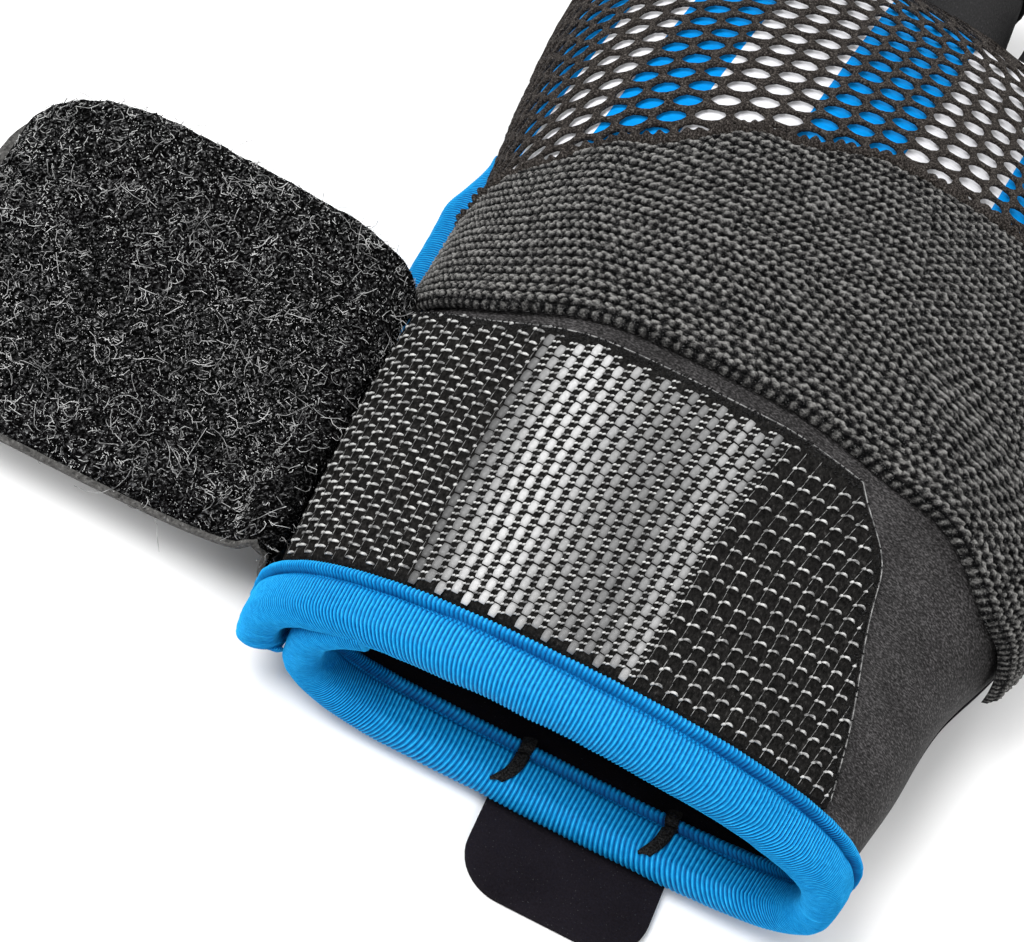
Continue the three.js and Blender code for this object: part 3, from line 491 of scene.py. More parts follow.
def ribbedElastic():
    finish = Finish("ribbed_elastic", Specular_IOR_Level=0.03)
    spots = finish.place()
    yarn = finish.noise(finish.stretched(spots, (2600, 4200, 2600), (0, 0, 0.7)), 1, 3, 0.7)
    speck = finish.noise(spots, 3600, 1) > 0.68
    tones = [
        (0.44, (0.0008, 0.0008, 0.001)), (0.6, (0.012, 0.0118, 0.0118)), (0.76, (0.09, 0.088, 0.085)),
        (0.96, (0.27, 0.265, 0.255)),
    ]
    # Painted shade and highlight: the stored relief takes the rib troughs to near black and the rib crests to
    # grey.
    tone = finish.blend(speck * 0.25, finish.ramp(finish.relief() * 0.56 + yarn * 0.74, tones), grey(0.3))
    return finish.surface(tone, yarn, (-0.3, 0.8), 0.8, 0.0004)


def netYarn():
    finish = Finish("net_yarn", Specular_IOR_Level=0.03)
    yarn = finish.noise(finish.place(), 3600, 3, 0.7)
    tones = [
        (0.36, (0.005, 0.004, 0.0036)), (0.5, (0.024, 0.0205, 0.0185)), (0.62, (0.085, 0.075, 0.068)),
        (0.76, (0.22, 0.205, 0.19)),
    ]
    return finish.surface(finish.ramp(yarn, tones), yarn, (-0.2, 0.8), 0.9, 0.0004)


def hookGround():
    finish = Finish("hook_ground", Specular_IOR_Level=0.02)
    spots = finish.place()
    weave = finish.noise(finish.stretched(spots, (2400, 1200, 2400)), 1, 3, 0.7)
    tones = [(0.35, (0.003, 0.0029, 0.0028)), (0.6, (0.012, 0.0115, 0.011)), (0.78, (0.045, 0.043, 0.041))]
    return finish.surface(finish.ramp(weave, tones), weave, (0.3, 0.5), 0.6, 0.0003)


def nylon(name, dark, light, roughness):  # shiny monofilament of the hook tape
    finish = Finish(name, Roughness=roughness, Specular_IOR_Level=0.25)
    # Painted glint: gloss puts random light and dark patches into the base colour of the nylon.
    gloss = finish.noise(finish.place(), 900, 2)
    return finish.feed(Base_Color=finish.ramp(gloss, [(0.35, dark), (0.62, light)]))


floatHighlightBands = [  # x in metres and tone: the floats' grey with painted highlight bands, brightest left of the middle and again to its right
    (-0.029, 0.04), (-0.0255, 0.1), (-0.0225, 0.28), (-0.0195, 0.5), (-0.0155, 0.48), (-0.012, 0.32),
    (-0.007, 0.18), (-0.002, 0.14), (0.0015, 0.2), (0.0045, 0.32), (0.0075, 0.22), (0.011, 0.07),
]


def floatBands():  # flat silvery floats
    finish = Finish("silver_floats", Roughness=0.5, Specular_IOR_Level=0.3)
    spots = finish.place()
    across = finish.axes(spots)[0]
    low, high = floatHighlightBands[0][0] - 0.001, floatHighlightBands[-1][0] + 0.003
    stops = [((x - low) / (high - low), tone) for x, tone in floatHighlightBands]
    # Painted highlight: base brightens the silvery floats in bands across x, where reflections fall on the
    # curved back.
    base = finish.ramp((across - low) * (1 / (high - low)), stops)
    grain = finish.noise(spots, 1600, 3)
    tone = finish.blend(0.5, base, finish.ramp(grain, [(0.3, 0.6), (0.7, 1.0)]), "MULTIPLY")
    return finish.feed(Base_Color=tone, Normal=finish.bump(grain, 0.25, 0.0002))


def pileBed():
    finish = Finish("pile_bed", Specular_IOR_Level=0.0)
    spots = finish.place()
    bend = finish.noise(spots, 500, 2)
    curl = finish.noise(finish.blend(0.0016, spots, bend, "ADD"), 2100, 3, 0.7)
    tones = [
        (0.42, (0.0008, 0.0008, 0.0008)), (0.53, (0.005, 0.005, 0.0051)), (0.61, (0.035, 0.035, 0.0355)),
        (0.72, (0.2, 0.2, 0.202)),
    ]
    return finish.surface(finish.ramp(curl, tones), curl, (0.1, 0.8), 0.9, 0.0006)


def fibreThread(name, dark, light):
    finish = Finish(name, Roughness=0.55, Specular_IOR_Level=0.1)
    shade = finish.noise(finish.place(), 420, 2)
    return finish.feed(Base_Color=finish.ramp(shade, [(0.35, dark), (0.68, light)]))


def strapCloth():
    finish = Finish("strap_cloth", Specular_IOR_Level=0.1)
    spots = finish.place()
    weave = finish.noise(spots, 2200, 3, 0.7)
    dots = finish.noise(spots, 1400, 1) > 0.6
    tones = [(0.3, (0.03, 0.029, 0.028)), (0.6, (0.085, 0.083, 0.08)), (0.75, (0.19, 0.187, 0.182))]
    tone = finish.blend(dots * 0.6, finish.ramp(weave, tones), grey(0.012))
    return finish.surface(tone, weave, (0.2, 0.6), 0.5, 0.0003)


def stretchCloth():
    finish = Finish("stretch_cloth", Specular_IOR_Level=0.08)
    knit = finish.noise(finish.stretched(finish.cloth(), (3.2, 1.4, 1)), 1, 3, 0.65)
    tones = [(0.3, (0.005, 0.005, 0.0053)), (0.6, (0.016, 0.0156, 0.016)), (0.78, (0.055, 0.054, 0.055))]
    return finish.surface(finish.ramp(knit, tones), knit, (0.2, 0.6), 0.5, 0.0003)


def blackThread():
    finish = Finish("black_thread", Specular_IOR_Level=0.05)
    twist = finish.noise(finish.place(), 4200, 2)
    tone = finish.ramp(twist, [(0.4, (0.002, 0.002, 0.0021)), (0.7, (0.028, 0.028, 0.0285))])
    return finish.surface(tone, twist, (0.2, 0.6), 0.6, 0.0002)


finishes = {
    "blue": blueKnit(),
    "suede": blackSuede(),
    "jersey": jersey(),
    "stripes": stripedKnit(),
    "elastic": ribbedElastic(),
    "net": netYarn(),
    "hookGround": hookGround(),
    "hookBright": nylon("hook_bright", (0.1, 0.1, 0.1), (0.5, 0.5, 0.49), 0.35),
    "hookDull": nylon("hook_dull", (0.05, 0.05, 0.05), (0.26, 0.26, 0.255), 0.4),
    "floats": floatBands(),
    "pile": pileBed(),
    "fibreLight": fibreThread("fibre_light", (0.09, 0.09, 0.091), (0.62, 0.62, 0.615)),
    "fibreDark": fibreThread("fibre_dark", (0.002, 0.002, 0.0021), (0.05, 0.05, 0.051)),
    "strap": strapCloth(),
    "stretch": stretchCloth(),
    "thread": blackThread(),
}
print("finishes made:", len(finishes))


def keep(piece, finish, nodes=()):  # its finish, body, slot and CAD nodes
    piece.data.materials.clear()
    piece.data.materials.append(finishes[finish])
    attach(piece, "root")
    if nodes:
        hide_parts(*nodes)
    return piece


def makeCamera():
    view = {"elevation": 50, "roll": 27, "distance": 0.42, "lens": 103, "target": (-0.021, -0.0445, 0.010)}
    bpy.ops.object.camera_add()
    camera = bpy.context.object
    camera.name = "camera"
    e, roll = math.radians(view["elevation"]), math.radians(view["roll"])
    back = Vector((0, -math.cos(e), math.sin(e)))
    right, up = Vector((1, 0, 0)), Vector((0, math.sin(e), math.cos(e)))
    turnedRight = right * math.cos(roll) + up * math.sin(roll)
    turnedUp = up * math.cos(roll) - right * math.sin(roll)
    place = Matrix((turnedRight, turnedUp, back)).transposed().to_4x4()
    place.translation = Vector(view["target"]) + back * view["distance"]
    camera.matrix_world = place
    camera.data.lens = view["lens"]
    camera.data.sensor_width = 36
    camera.data.clip_start = 0.01
    bpy.context.scene.camera = camera


makeCamera()


def cutWith(piece, cutters):
    for cutter in cutters:
        modified(piece, "BOOLEAN", operation="DIFFERENCE", solver="MANIFOLD", object=cutter)
        bpy.data.objects.remove(cutter)


fingerRows = [  # across and splay are shares of the width, height of the thickness, reach of the length
    {"name": "little", "across": -0.362, "splay": -0.04, "width": 0.222, "height": 0.52, "reach": 0.86},
    {"name": "ring", "across": -0.127, "splay": -0.012, "width": 0.233, "height": 0.55, "reach": 0.98},
    {"name": "middle", "across": 0.118, "splay": 0.006, "width": 0.24, "height": 0.56, "reach": 1.0},
    {"name": "index", "across": 0.361, "splay": 0.03, "width": 0.232, "height": 0.55, "reach": 0.95},
]
fingerForm = {
    "length": 30, "taper": 0.9, "wall": 1.5, "boreFrom": -0.2, "boreTo": 0.3, "hem": 6, "hemThickness": 0.7,
    "hemWall": 0.95, "hemRound": 0.35, "ribHeight": 0.05,
}


def fingerPoint(finger, t, angle, grow=0.0):
    size = mix(1, fingerForm["taper"], t)
    halfWidth = finger["width"] * hand["width"] * size / 2 + grow
    halfHeight = finger["height"] * hand["thickness"] * size / 2 + grow
    x = (finger["across"] + finger["splay"] * np.maximum(t, 0)) * hand["width"]
    y = hand["length"] + hand["gap"] + t * fingerForm["length"] * finger["reach"]
    base = finger["height"] * hand["thickness"] / 2 + hand["wall"]
    a = np.radians(angle)
    return x + halfWidth * np.cos(a), y + 0 * a, base + halfHeight * np.sin(a)


def thumbPoint(distance, angle, grow=0.0):
    size = thumb["taper"] + thumb["flare"] * np.maximum(1 - distance / thumb["length"], 0) ** 1.5
    halfWidth = thumb["width"] * size / 2 + grow
    middle = thumb["height"] * size / 2
    a, heading = np.radians(angle), math.radians(thumb["heading"])
    across = halfWidth * np.cos(a)
    x = thumb["rootAcross"] * hand["width"] + distance * math.sin(heading) + across * math.cos(heading)
    y = thumb["rootAlong"] * hand["length"] + distance * math.cos(heading) - across * math.sin(heading)
    return x, y, sideHeight - thumb["height"] / 2 + middle + (middle + grow) * np.sin(a)


def plug(name, sides, place):  # a closed plug between two rings, to cut a bore
    bpy.ops.object.select_all(action="DESELECT")
    bpy.ops.mesh.primitive_cylinder_add(vertices=sides, radius=1, depth=1)
    piece = bpy.context.object
    piece.name = name
    flat = spotsOf(piece)
    angle = np.degrees(np.arctan2(flat[:, 1], flat[:, 0]))
    placeSpots(piece, toFrame(*place(flat[:, 2] + 0.5, angle)))
    inEdit(piece, outwards)
    return piece


def handBores():
    inset = -fingerForm["wall"]

    def fingerBore(finger):
        def place(t, angle):
            return fingerPoint(finger, mix(fingerForm["boreFrom"], fingerForm["boreTo"], t), angle, inset)

        return place

    def thumbBore(t, angle):
        return thumbPoint(mix(-2, thumb["boreDepth"], t), angle, inset)

    plugs = [plug(f"bore_{finger['name']}", 48, fingerBore(finger)) for finger in fingerRows]
    return plugs + [plug("bore_thumb", 64, thumbBore)]


shell = {
    "webRound": 1.6, "webShare": 0.16, "webNarrowing": 0.03, "wrinkle": 0.22, "swell": 0.25,
    "palmWebFrom": 0.94, "backWebFrom": 0.9,
}


def runToWeb(v, first, webFrom):  # y along the hand, and how far the wall between the fingers has closed
    y = mix(first, hand["length"] - shell["webRound"], np.minimum(v / webFrom, 1))
    return y, np.where(v > webFrom, (v - webFrom) / (1 - webFrom), 0)


def shellPoint(y, angle, closing, grow, tuck=0.0):  # closing runs from 0 at the web's rim to 1 at its seam
    pulled = shell["webRound"] * (1 - roundedEdge(closing, shell["webShare"]))
    x, y, z = handPoint(y, angle, grow, tuck)
    y = np.where(closing > 0, hand["length"] - pulled, y)
    closed = np.maximum(closing, 0)
    return x * (1 - shell["webNarrowing"] * closed), y, mix(z, sideHeight, closed)


def palmShell():
    def place(u, v):
        y, closing = runToWeb(v, hand["edgeSetback"], shell["palmWebFrom"])
        start = seamAngle(y, 0, hand["gap"] / 2)
        end = seamAngle(y, 1, palmLeftDrop(y)) - 360
        crease = shell["wrinkle"] * drift(u * 90, y, 14, 3) * ease(y, 20, 40) * ease(u * (1 - u), 0, 0.05)
        return shellPoint(y, mix(start, end, u), closing, np.minimum(crease, 0), hand["palmTuck"])

    piece = clothGrid("palm_cloth", 72, 90, place, (130, 170))
    walled(piece, hand["wall"])
    cutWith(piece, handBores())
    return keep(smoothed(piece), "suede", ["palm_panel"])


def backShell():
    def place(u, v):
        y, closing = runToWeb(v, hand["cuffLength"] + hand["gap"], shell["backWebFrom"])
        start = seamAngle(y, 1, cuffLeftDrop(y))
        end = seamAngle(y, 0, -hand["gap"] / 2)
        return shellPoint(y, mix(start, end, u), closing, 0.0)

    piece = clothGrid("back_cloth", 80, 60, place, (115, 110))
    walled(piece, hand["wall"])
    cutWith(piece, handBores())
    return keep(smoothed(piece), "stripes", ["back_panel"])


def cuffShell():
    def place(u, v):
        y = mix(hand["edgeSetback"], hand["cuffLength"], v)
        start = seamAngle(y, 1, cuffLeftDrop(y))
        end = seamAngle(y, 0, -hand["gap"] / 2)
        swell = shell["swell"] * drift(u * 80, y, 18, 5) * ease(y, 12, 24)
        return handPoint(y, mix(start, end, u), np.minimum(swell, 0))

    piece = clothGrid("cuff_neoprene", 90, 40, place, (108, 60))
    walled(piece, hand["wall"])
    return keep(smoothed(piece), "jersey", ["cuff_back"])


palmShell()
backShell()
cuffShell()
print("shells laid")


cuffTape = {"front": hand["edgeSetback"] - binding["fold"], "width": binding["width"]}
slitForm = {"front": -hand["gap"] - binding["cloth"], "width": 5}


def tapeOutline(share, form, inset=0.0):  # the folded tape's section, as reach inwards and height
    outside = hand["gap"] + binding["cloth"]
    inside = -hand["wall"] - outside
    middle, half = (outside + inside) / 2, (outside - inside) / 2 - inset
    front, width = form["front"] + inset, form["width"]
    side = np.where(share < 0.5, -1, 1)
    run = np.abs(share - 0.5) * 2
    bend = binding["bendShare"]
    turn = np.clip(run / bend, 0, 1) * math.pi / 2
    straight = np.clip((run - bend) / (1 - bend), 0, 1)
    nose = half * 0.8
    along = front + (1 - np.cos(turn)) * nose + straight * (width - front - nose)
    groove = width - binding["ridge"]
    body = np.clip((along - front) / (groove - front), 0, 1)
    bulge = binding["bulge"] * np.sin(math.pi * body) ** 0.6
    crest = np.clip((along - groove) / binding["ridge"], 0, 1)
    ridge = binding["ridgeRise"] * np.sin(math.pi * crest) ** 0.7
    dip = binding["groove"] * np.exp(-(((along - groove) / binding["grooveWidth"]) ** 2))
    end = ease(along, width - 0.5, width) * (binding["tapeWall"] * 0.5 - inset)
    return along, middle + side * (half * np.sin(turn) + bulge + ridge - dip - end)


def tape(name, form, place, length, rows=64):
    outer = 0.8  # share of the section's rows that lie on the tape's face
    ribs = int(length / binding["ribPitch"])

    def laid(u, v):
        share = np.where(v < outer, 1 - v / outer, (v - outer) / (1 - outer))
        face = (v < outer) & (v > 0)
        here = tapeOutline(share, form)
        lining = tapeOutline(share, form, binding["tapeWall"])
        ahead = tapeOutline(np.clip(share + 0.004, 0, 1), form)
        behind = tapeOutline(np.clip(share - 0.004, 0, 1), form)
        run, climb = ahead[0] - behind[0], ahead[1] - behind[1]
        size = np.hypot(run, climb)
        pucker = 0.1 * drift(u * length, share * 30, 4.5, 11)
        pucker = pucker + 0.05 * drift(u * length, share * 40, 1.6, 12)
        rib = binding["ribHeight"] * np.cos(2 * math.pi * ribs * u) + pucker
        along = np.where(face, here[0] - climb / size * rib, lining[0])
        out = np.where(face, here[1] + run / size * rib, lining[1])
        wander = binding["grooveWander"] * drift(u * length, 0 * v, 3.1, 13)
        groove = form["width"] - binding["ridge"] + wander
        # Painted shade: the last value below is darkest in the rib troughs and along the groove, and the blue
        # finish darkens the colour there.
        shaded = np.exp(-(((here[0] - groove) / (1.6 * binding["grooveWidth"])) ** 2))
        return *place(u, along, out), (0.5 + 0.5 * np.cos(2 * math.pi * ribs * u)) * (1 - shaded)

    piece = clothGrid(name, ribs * 2, rows, laid, (length, 2 * form["width"] + 5), closed=True)
    inEdit(piece, *holesClosed)
    return smoothed(piece, 75)


cutEnd = {"share": 0.05, "push": 1.4, "pinch": 0.45, "drop": 1.5, "rumple": 0.9}


def crumple(u, along, out):  # the cut end at the little-finger side is pressed together and rumpled
    middle = -hand["wall"] / 2
    pinch = 1 - ease(u, 0, cutEnd["share"])
    rumple = cutEnd["rumple"] * pinch * drift(along * 3 + u * 90, out * 3, 2.1, 14)
    pressed = middle + (out - middle) * (1 - cutEnd["pinch"] * pinch)
    return along + cutEnd["push"] * pinch, pressed - cutEnd["drop"] * pinch + rumple


def bindings():
    backStart = float(seamAngle(0, 1, cuffLeftDrop(0)))
    backEnd = float(seamAngle(0, 0, hand["gap"] / 2))

    def backPlace(u, along, out):
        along, out = crumple(u, along, out)
        return handPoint(along, mix(backStart, backEnd, u), out)

    back = tape("cuff_binding", cuffTape, backPlace, binding["backLength"])
    keep(back, "blue", ["binding_back"])
    palmStart = float(seamAngle(0, 0, 1.5 * hand["gap"]))
    palmEnd = float(seamAngle(0, 1, palmLeftDrop(0) - binding["endLap"])) - 360

    def palmPlace(u, along, out):
        return handPoint(along, mix(palmStart, palmEnd, u), out, hand["palmTuck"])

    palm = tape("palm_binding", cuffTape, palmPlace, binding["palmLength"])
    keep(palm, "blue", ["binding_palm"])


def slitTape():
    def place(u, along, out):
        y = mix(binding["width"] + 2 * hand["gap"], hand["slitLength"], u)
        angle = seamAngle(y, 1, palmLeftDrop(y) + along)
        return handPoint(y, angle, out, hand["palmTuck"])

    piece = tape("slit_tape", slitForm, place, binding["slitLength"], 44)
    keep(piece, "blue", ["slit_binding"])


bindings()
slitTape()
print("bindings folded")


def bandPoint(u, v, lift):  # u from the thumb side, v from the wrist side
    low = alongTable(bandRows, "across", "low", u) * hand["length"]
    high = alongTable(bandRows, "across", "high", u) * hand["length"]
    y = mix(low, high, v)
    return handPoint(y, backAngle(y, u), bandLift(u) + lift)


def elasticBand():
    def place(across, v):
        u = 1 - across
        low = alongTable(bandRows, "across", "low", u)
        high = alongTable(bandRows, "across", "high", u)
        fromLow = v * (high - low) * hand["length"]
        fromHigh = (1 - v) * (high - low) * hand["length"]
        fromSide = np.minimum(u, 1 - u) * band["width"]
        nearest = np.minimum(np.minimum(fromLow, fromHigh), fromSide)
        edge = roundedEdge(nearest, band["edgeRound"])
        row = fromLow / band["ribPitch"]
        stitch = u * band["width"] / band["stitchPitch"]
        rib = np.abs(np.cos(math.pi * row)) ** 0.6
        knot = 0.5 + 0.5 * np.cos(2 * math.pi * (stitch + band["skew"] * (row % 1)))
        rough = band["rough"] * drift(u * 300, fromLow * 3, 1, 21)
        relief = band["relief"] * (rib * mix(band["hollow"], 1, knot**0.8) - 1) + rough
        # Stored for the finish: low in the rib troughs and halved on the rounded edges, both painted shade
        # once the finish reads it.
        height = np.clip(1 + relief / band["relief"], 0, 1) * mix(0.5, 1, edge)
        return *bandPoint(u, v, (band["thickness"] + relief) * edge), height

    piece = clothGrid("elastic_cloth", 340, 190, place, (band["width"], band["length"]))
    return keep(smoothed(piece, 80), "elastic", ["elastic_band"])


elasticBand()
print("elastic band laid")

patch = {  # right, left, slant and corner are angles, and the froms and tos are mm across from the middle
    "right": 39, "left": 163, "slant": 24, "corner": 7, "thickness": 1.3, "ground": 0.75, "show": 2.4,
    "width": 76, "edgeRound": 0.9, "middleY": 36.0, "columnPitch": 2.0, "rowPitch": 2.3, "floatFrom": -25.5,
    "floatTo": 8.5, "edge": 2.2, "bareFrom": -48.0, "barePitch": 1.6, "bareEdge": 1.4, "hooksTo": 46.0,
    "hookColumns": 2.25, "hookRows": 2.7, "linePitch": 1.5,
}


def patchEnd(turn):
    low = alongTable(bandRows, "across", "low", turn / (180 - band["margin"])) * hand["length"]
    u = np.clip((turn - patch["right"]) / (patch["left"] - patch["right"]), 0, 1)
    return low - 2 * hand["gap"] - patch["show"] * np.sin(math.pi * u)


def patchRight(v):
    return patch["right"] + patch["slant"] * v + patch["corner"] * ease(v, 0.7, 1) ** 2


def patchAt(turn, y, lift=0.0):
    return handPoint(y, turn, hand["gap"] + lift)


def patchTurnOf(arc):  # the angle at a distance across the patch, counted from x = 0 towards the thumb
    turns = np.linspace(178, 20, 400)
    x, _, z = patchAt(turns, np.full(400, patch["middleY"]))
    steps = np.hypot(np.diff(x), np.diff(z))
    run = np.concatenate([[0], np.cumsum(steps)])
    middle = np.interp(0, x, run)
    return np.interp(arc, run - middle, turns)


def hookPatch():
    first = binding["width"] + hand["gap"]

    def place(across, v):
        turn = mix(patch["left"], patchRight(v), across)
        end = patchEnd(turn)
        y = mix(first, end, v)
        fromSide = np.minimum(across, 1 - across) * patch["width"]
        nearest = np.minimum(np.minimum(v, 1 - v) * (end - first), fromSide)
        edge = roundedEdge(nearest, patch["edgeRound"])
        wave = 0.05 * np.cos(2 * math.pi * y / patch["rowPitch"]) + 0.08 * drift(across * 200, y * 3, 1, 31)
        return patchAt(turn, y, (patch["thickness"] * patch["ground"] + wave) * edge)

    piece = clothGrid("hook_tape_ground", 160, 90, place, (78, 45))
    keep(smoothed(piece, 80), "hookGround", ["hook_patch"])


def patchCells(step, start, end, inset, stagger, slip, seed):  # step is the pitch across and along
    first = binding["width"] + hand["gap"] + 0.5
    arcsAt = np.arange(start, end, step[0])
    rowsAt = np.arange(first - 4, first + 54, step[1])
    arc, y = np.meshgrid(arcsAt, rowsAt, indexing="ij")
    odd = (np.arange(len(arcsAt)) % 2)[:, None]
    y = y + odd * stagger * step[1]
    shake = np.random.RandomState(seed).uniform(-1, 1, (2,) + arc.shape)
    arc, y = arc + shake[0] * slip, y + shake[1] * slip
    arc, y = arc.ravel(), y.ravel()
    turn = patchTurnOf(arc)
    v = (y - first) / (patchEnd(turn) - first)
    inside = (y > first + 0.3) & (y < patchEnd(turn) - inset) & (turn < patch["left"] - 1.5)
    inside &= turn > patchRight(np.clip(v, 0, 1)) + inset * 0.9
    return arc[inside], y[inside]


bitForms = {  # heading is across and along, lift is over the ground and rise is over the bit's own ends
    "silver_floats": {
        "finish": "floats", "heading": (0.06, 1), "length": 2.0, "width": 0.66, "depth": 0.16, "rise": 0.1,
        "lift": 0.02, "sides": 6, "taper": 0.8,
    },
    "weave_knots": {
        "finish": "hookBright", "heading": (0.8, 0.5), "length": 0.62, "width": 0.17, "depth": 0.17,
        "rise": 0.2, "lift": 0.06,
    },
    "weft_dashes": {
        "finish": "hookBright", "heading": (1, 0), "length": 1.15, "width": 0.26, "depth": 0.18, "rise": 0.16,
        "lift": 0.02,
    },
    "square_knots": {
        "finish": "hookBright", "heading": (0.8, 0.6), "length": 0.56, "width": 0.28, "depth": 0.2,
        "rise": 0.14, "lift": 0.04,
    },
    "warp_lines": {
        "finish": "hookDull", "heading": (0.05, 1), "length": 1.4, "width": 0.05, "depth": 0.05, "rise": 0.03,
        "lift": 0.02, "steps": 3,
    },
    "nylon_hooks": {
        "finish": "hookBright", "heading": (1, 0.05), "length": 1.2, "width": 0.25, "depth": 0.17,
        "rise": 0.4, "lift": 0.02, "steps": 5,
    },
    "hook_knots": {
        "finish": "hookBright", "heading": (0.7, 0.7), "length": 0.6, "width": 0.26, "depth": 0.2,
        "rise": 0.2, "lift": 0.02,
    },
    "nylon_ground": {
        "finish": "hookDull", "heading": (0.03, 1), "length": 1.5, "width": 0.07, "depth": 0.07, "rise": 0.04,
        "lift": 0.02, "steps": 3,
    },
}


def patchBits(name, arc, y):  # one short bent thread at each cell
    form = {"steps": 4, "sides": 4, "taper": 0.55, **bitForms[name]}

    def ground(first, second):
        return patchAt(patchTurnOf(first), second, patch["thickness"] * patch["ground"] + form["lift"])

    spots, across, up, normal = basis(ground, arc, y)
    heading = across * form["heading"][0] + up * form["heading"][1]
    lines = arcs(spots, heading, normal, form["length"], form["rise"], form["steps"])
    t = np.abs(np.linspace(-1, 1, form["steps"]))
    slim = 1 - (1 - form["taper"]) * t**2
    piece = threads(name, lines, normal, form["width"] * slim, form["depth"] * slim, form["sides"])
    keep(piece, form["finish"])


def hookBits():
    columns, rows, edge = patch["columnPitch"], patch["rowPitch"], patch["edge"]
    floatFrom, floatTo = patch["floatFrom"], patch["floatTo"]
    patchBits("silver_floats", *patchCells((columns, rows), floatFrom, floatTo, edge, 0.5, 0.06, 2))
    between = []
    for share, offset in ((0.36, 0.03), (0.62, 0.165)):
        start = floatFrom + columns * share
        arc, y = patchCells((columns, rows / 2), start, floatTo, edge * 0.8, 0.5, 0.1, 3)
        between.append((arc, y + offset))
    patchBits("weave_knots", *(np.concatenate(pair) for pair in zip(*between)))
    left, bare, bareEdge = patch["bareFrom"], patch["barePitch"], patch["bareEdge"]
    bareTo = floatFrom - 0.4
    patchBits("weft_dashes", *patchCells((bare, rows), left, bareTo, bareEdge, 0.5, 0.08, 4))
    offLeft = left + bare / 2
    arc, y = patchCells((bare, rows), offLeft, bareTo, bareEdge, 0.5, 0.08, 7)
    patchBits("square_knots", arc, y + rows * 0.5)
    patchBits("warp_lines", *patchCells((bare, rows / 1.5), offLeft, floatFrom, bareEdge, 0.5, 0.05, 9))
    right, hookStep = patch["hooksTo"], (patch["hookColumns"], patch["hookRows"])
    patchBits("nylon_hooks", *patchCells(hookStep, floatTo + 0.6, right, edge, 0.0, 0.1, 5))
    arc, y = patchCells(hookStep, floatTo - 0.2, right, edge, 0.0, 0.1, 8)
    patchBits("hook_knots", arc, y - 0.2)
    lineStep = (patch["hookColumns"], patch["linePitch"])
    patchBits("nylon_ground", *patchCells(lineStep, floatTo - 0.2, right, edge, 0.0, 0.04, 6))


def patchSewing():
    first = binding["width"] + hand["gap"]
    count = 150
    turn = np.linspace(patch["left"] - 2, patchRight(1.0) + 1, count)
    y = patchEnd(turn) - 1.1
    sideV = np.linspace(0.96, 0.04, 70)
    sideTurn = patchRight(sideV) + 2.0
    sideY = mix(first, patchEnd(sideTurn), sideV)
    turn, y = np.concatenate([turn, sideTurn]), np.concatenate([y, sideY])
    random = np.random.RandomState(8)
    turn = np.repeat(turn, 3) + random.uniform(-1, 1, len(turn) * 3) * 0.8
    y = np.repeat(y, 3) + random.uniform(-0.7, 0.7, len(y) * 3)
    spots, across, up, normal = basis(lambda a, b: patchAt(a, b, patch["thickness"] * 0.8), turn, y)
    swing = random.uniform(0, math.pi, len(turn))[:, None]
    lines = arcs(spots, across * np.cos(swing) + up * np.sin(swing), normal, 1.2, 0.35, 4)
    keep(threads("patch_sewing", lines, normal, 0.13, 0.13), "thread")
    rimTurn = np.concatenate([np.linspace(patch["left"] - 1, patchRight(1.0) + 0.4, count), sideTurn - 1.7])
    rimY = np.concatenate([patchEnd(rimTurn[:count]) - 0.2, sideY])
    rim = basis(lambda a, b: patchAt(a, b, patch["thickness"] * 0.6), rimTurn, rimY)[0]
    keep(threads("patch_selvage", [rim], [[0, 0, 1]], 0.11, 0.11), "hookDull")


hookPatch()
hookBits()
patchSewing()
print("hook tape woven")

# The net's lattice lies slanted across the back: cells stand along its rows, and each row is shifted by
# half a cell. Both steps are distances across, counted from the middle of the back, and along the hand.
net = {
    "cellStep": (4.5, 2.5), "rowStep": (-0.85, 2.8), "cells": 18, "rows": 28, "zigzag": 0.21, "strand": 0.74,
    "thickness": 0.8, "wobble": 0.2, "width": 96, "middleY": 118, "end": 0.975, "lap": 0.6,
}


def netStart(u):
    return alongTable(bandRows, "across", "high", u) * hand["length"]


def netPoint(across, y, lift):  # across in mm from the middle of the back towards the thumb
    u = np.clip(0.5 - across / net["width"], 0, 1)
    start = netStart(u)
    y = np.clip(y, start - 4, net["end"] * hand["length"])
    rest = mix(0.05, 1.5 * hand["gap"], ease(y, start - 0.5, start + 2.5))
    return handPoint(y, backAngle(y, u), rest + lift)


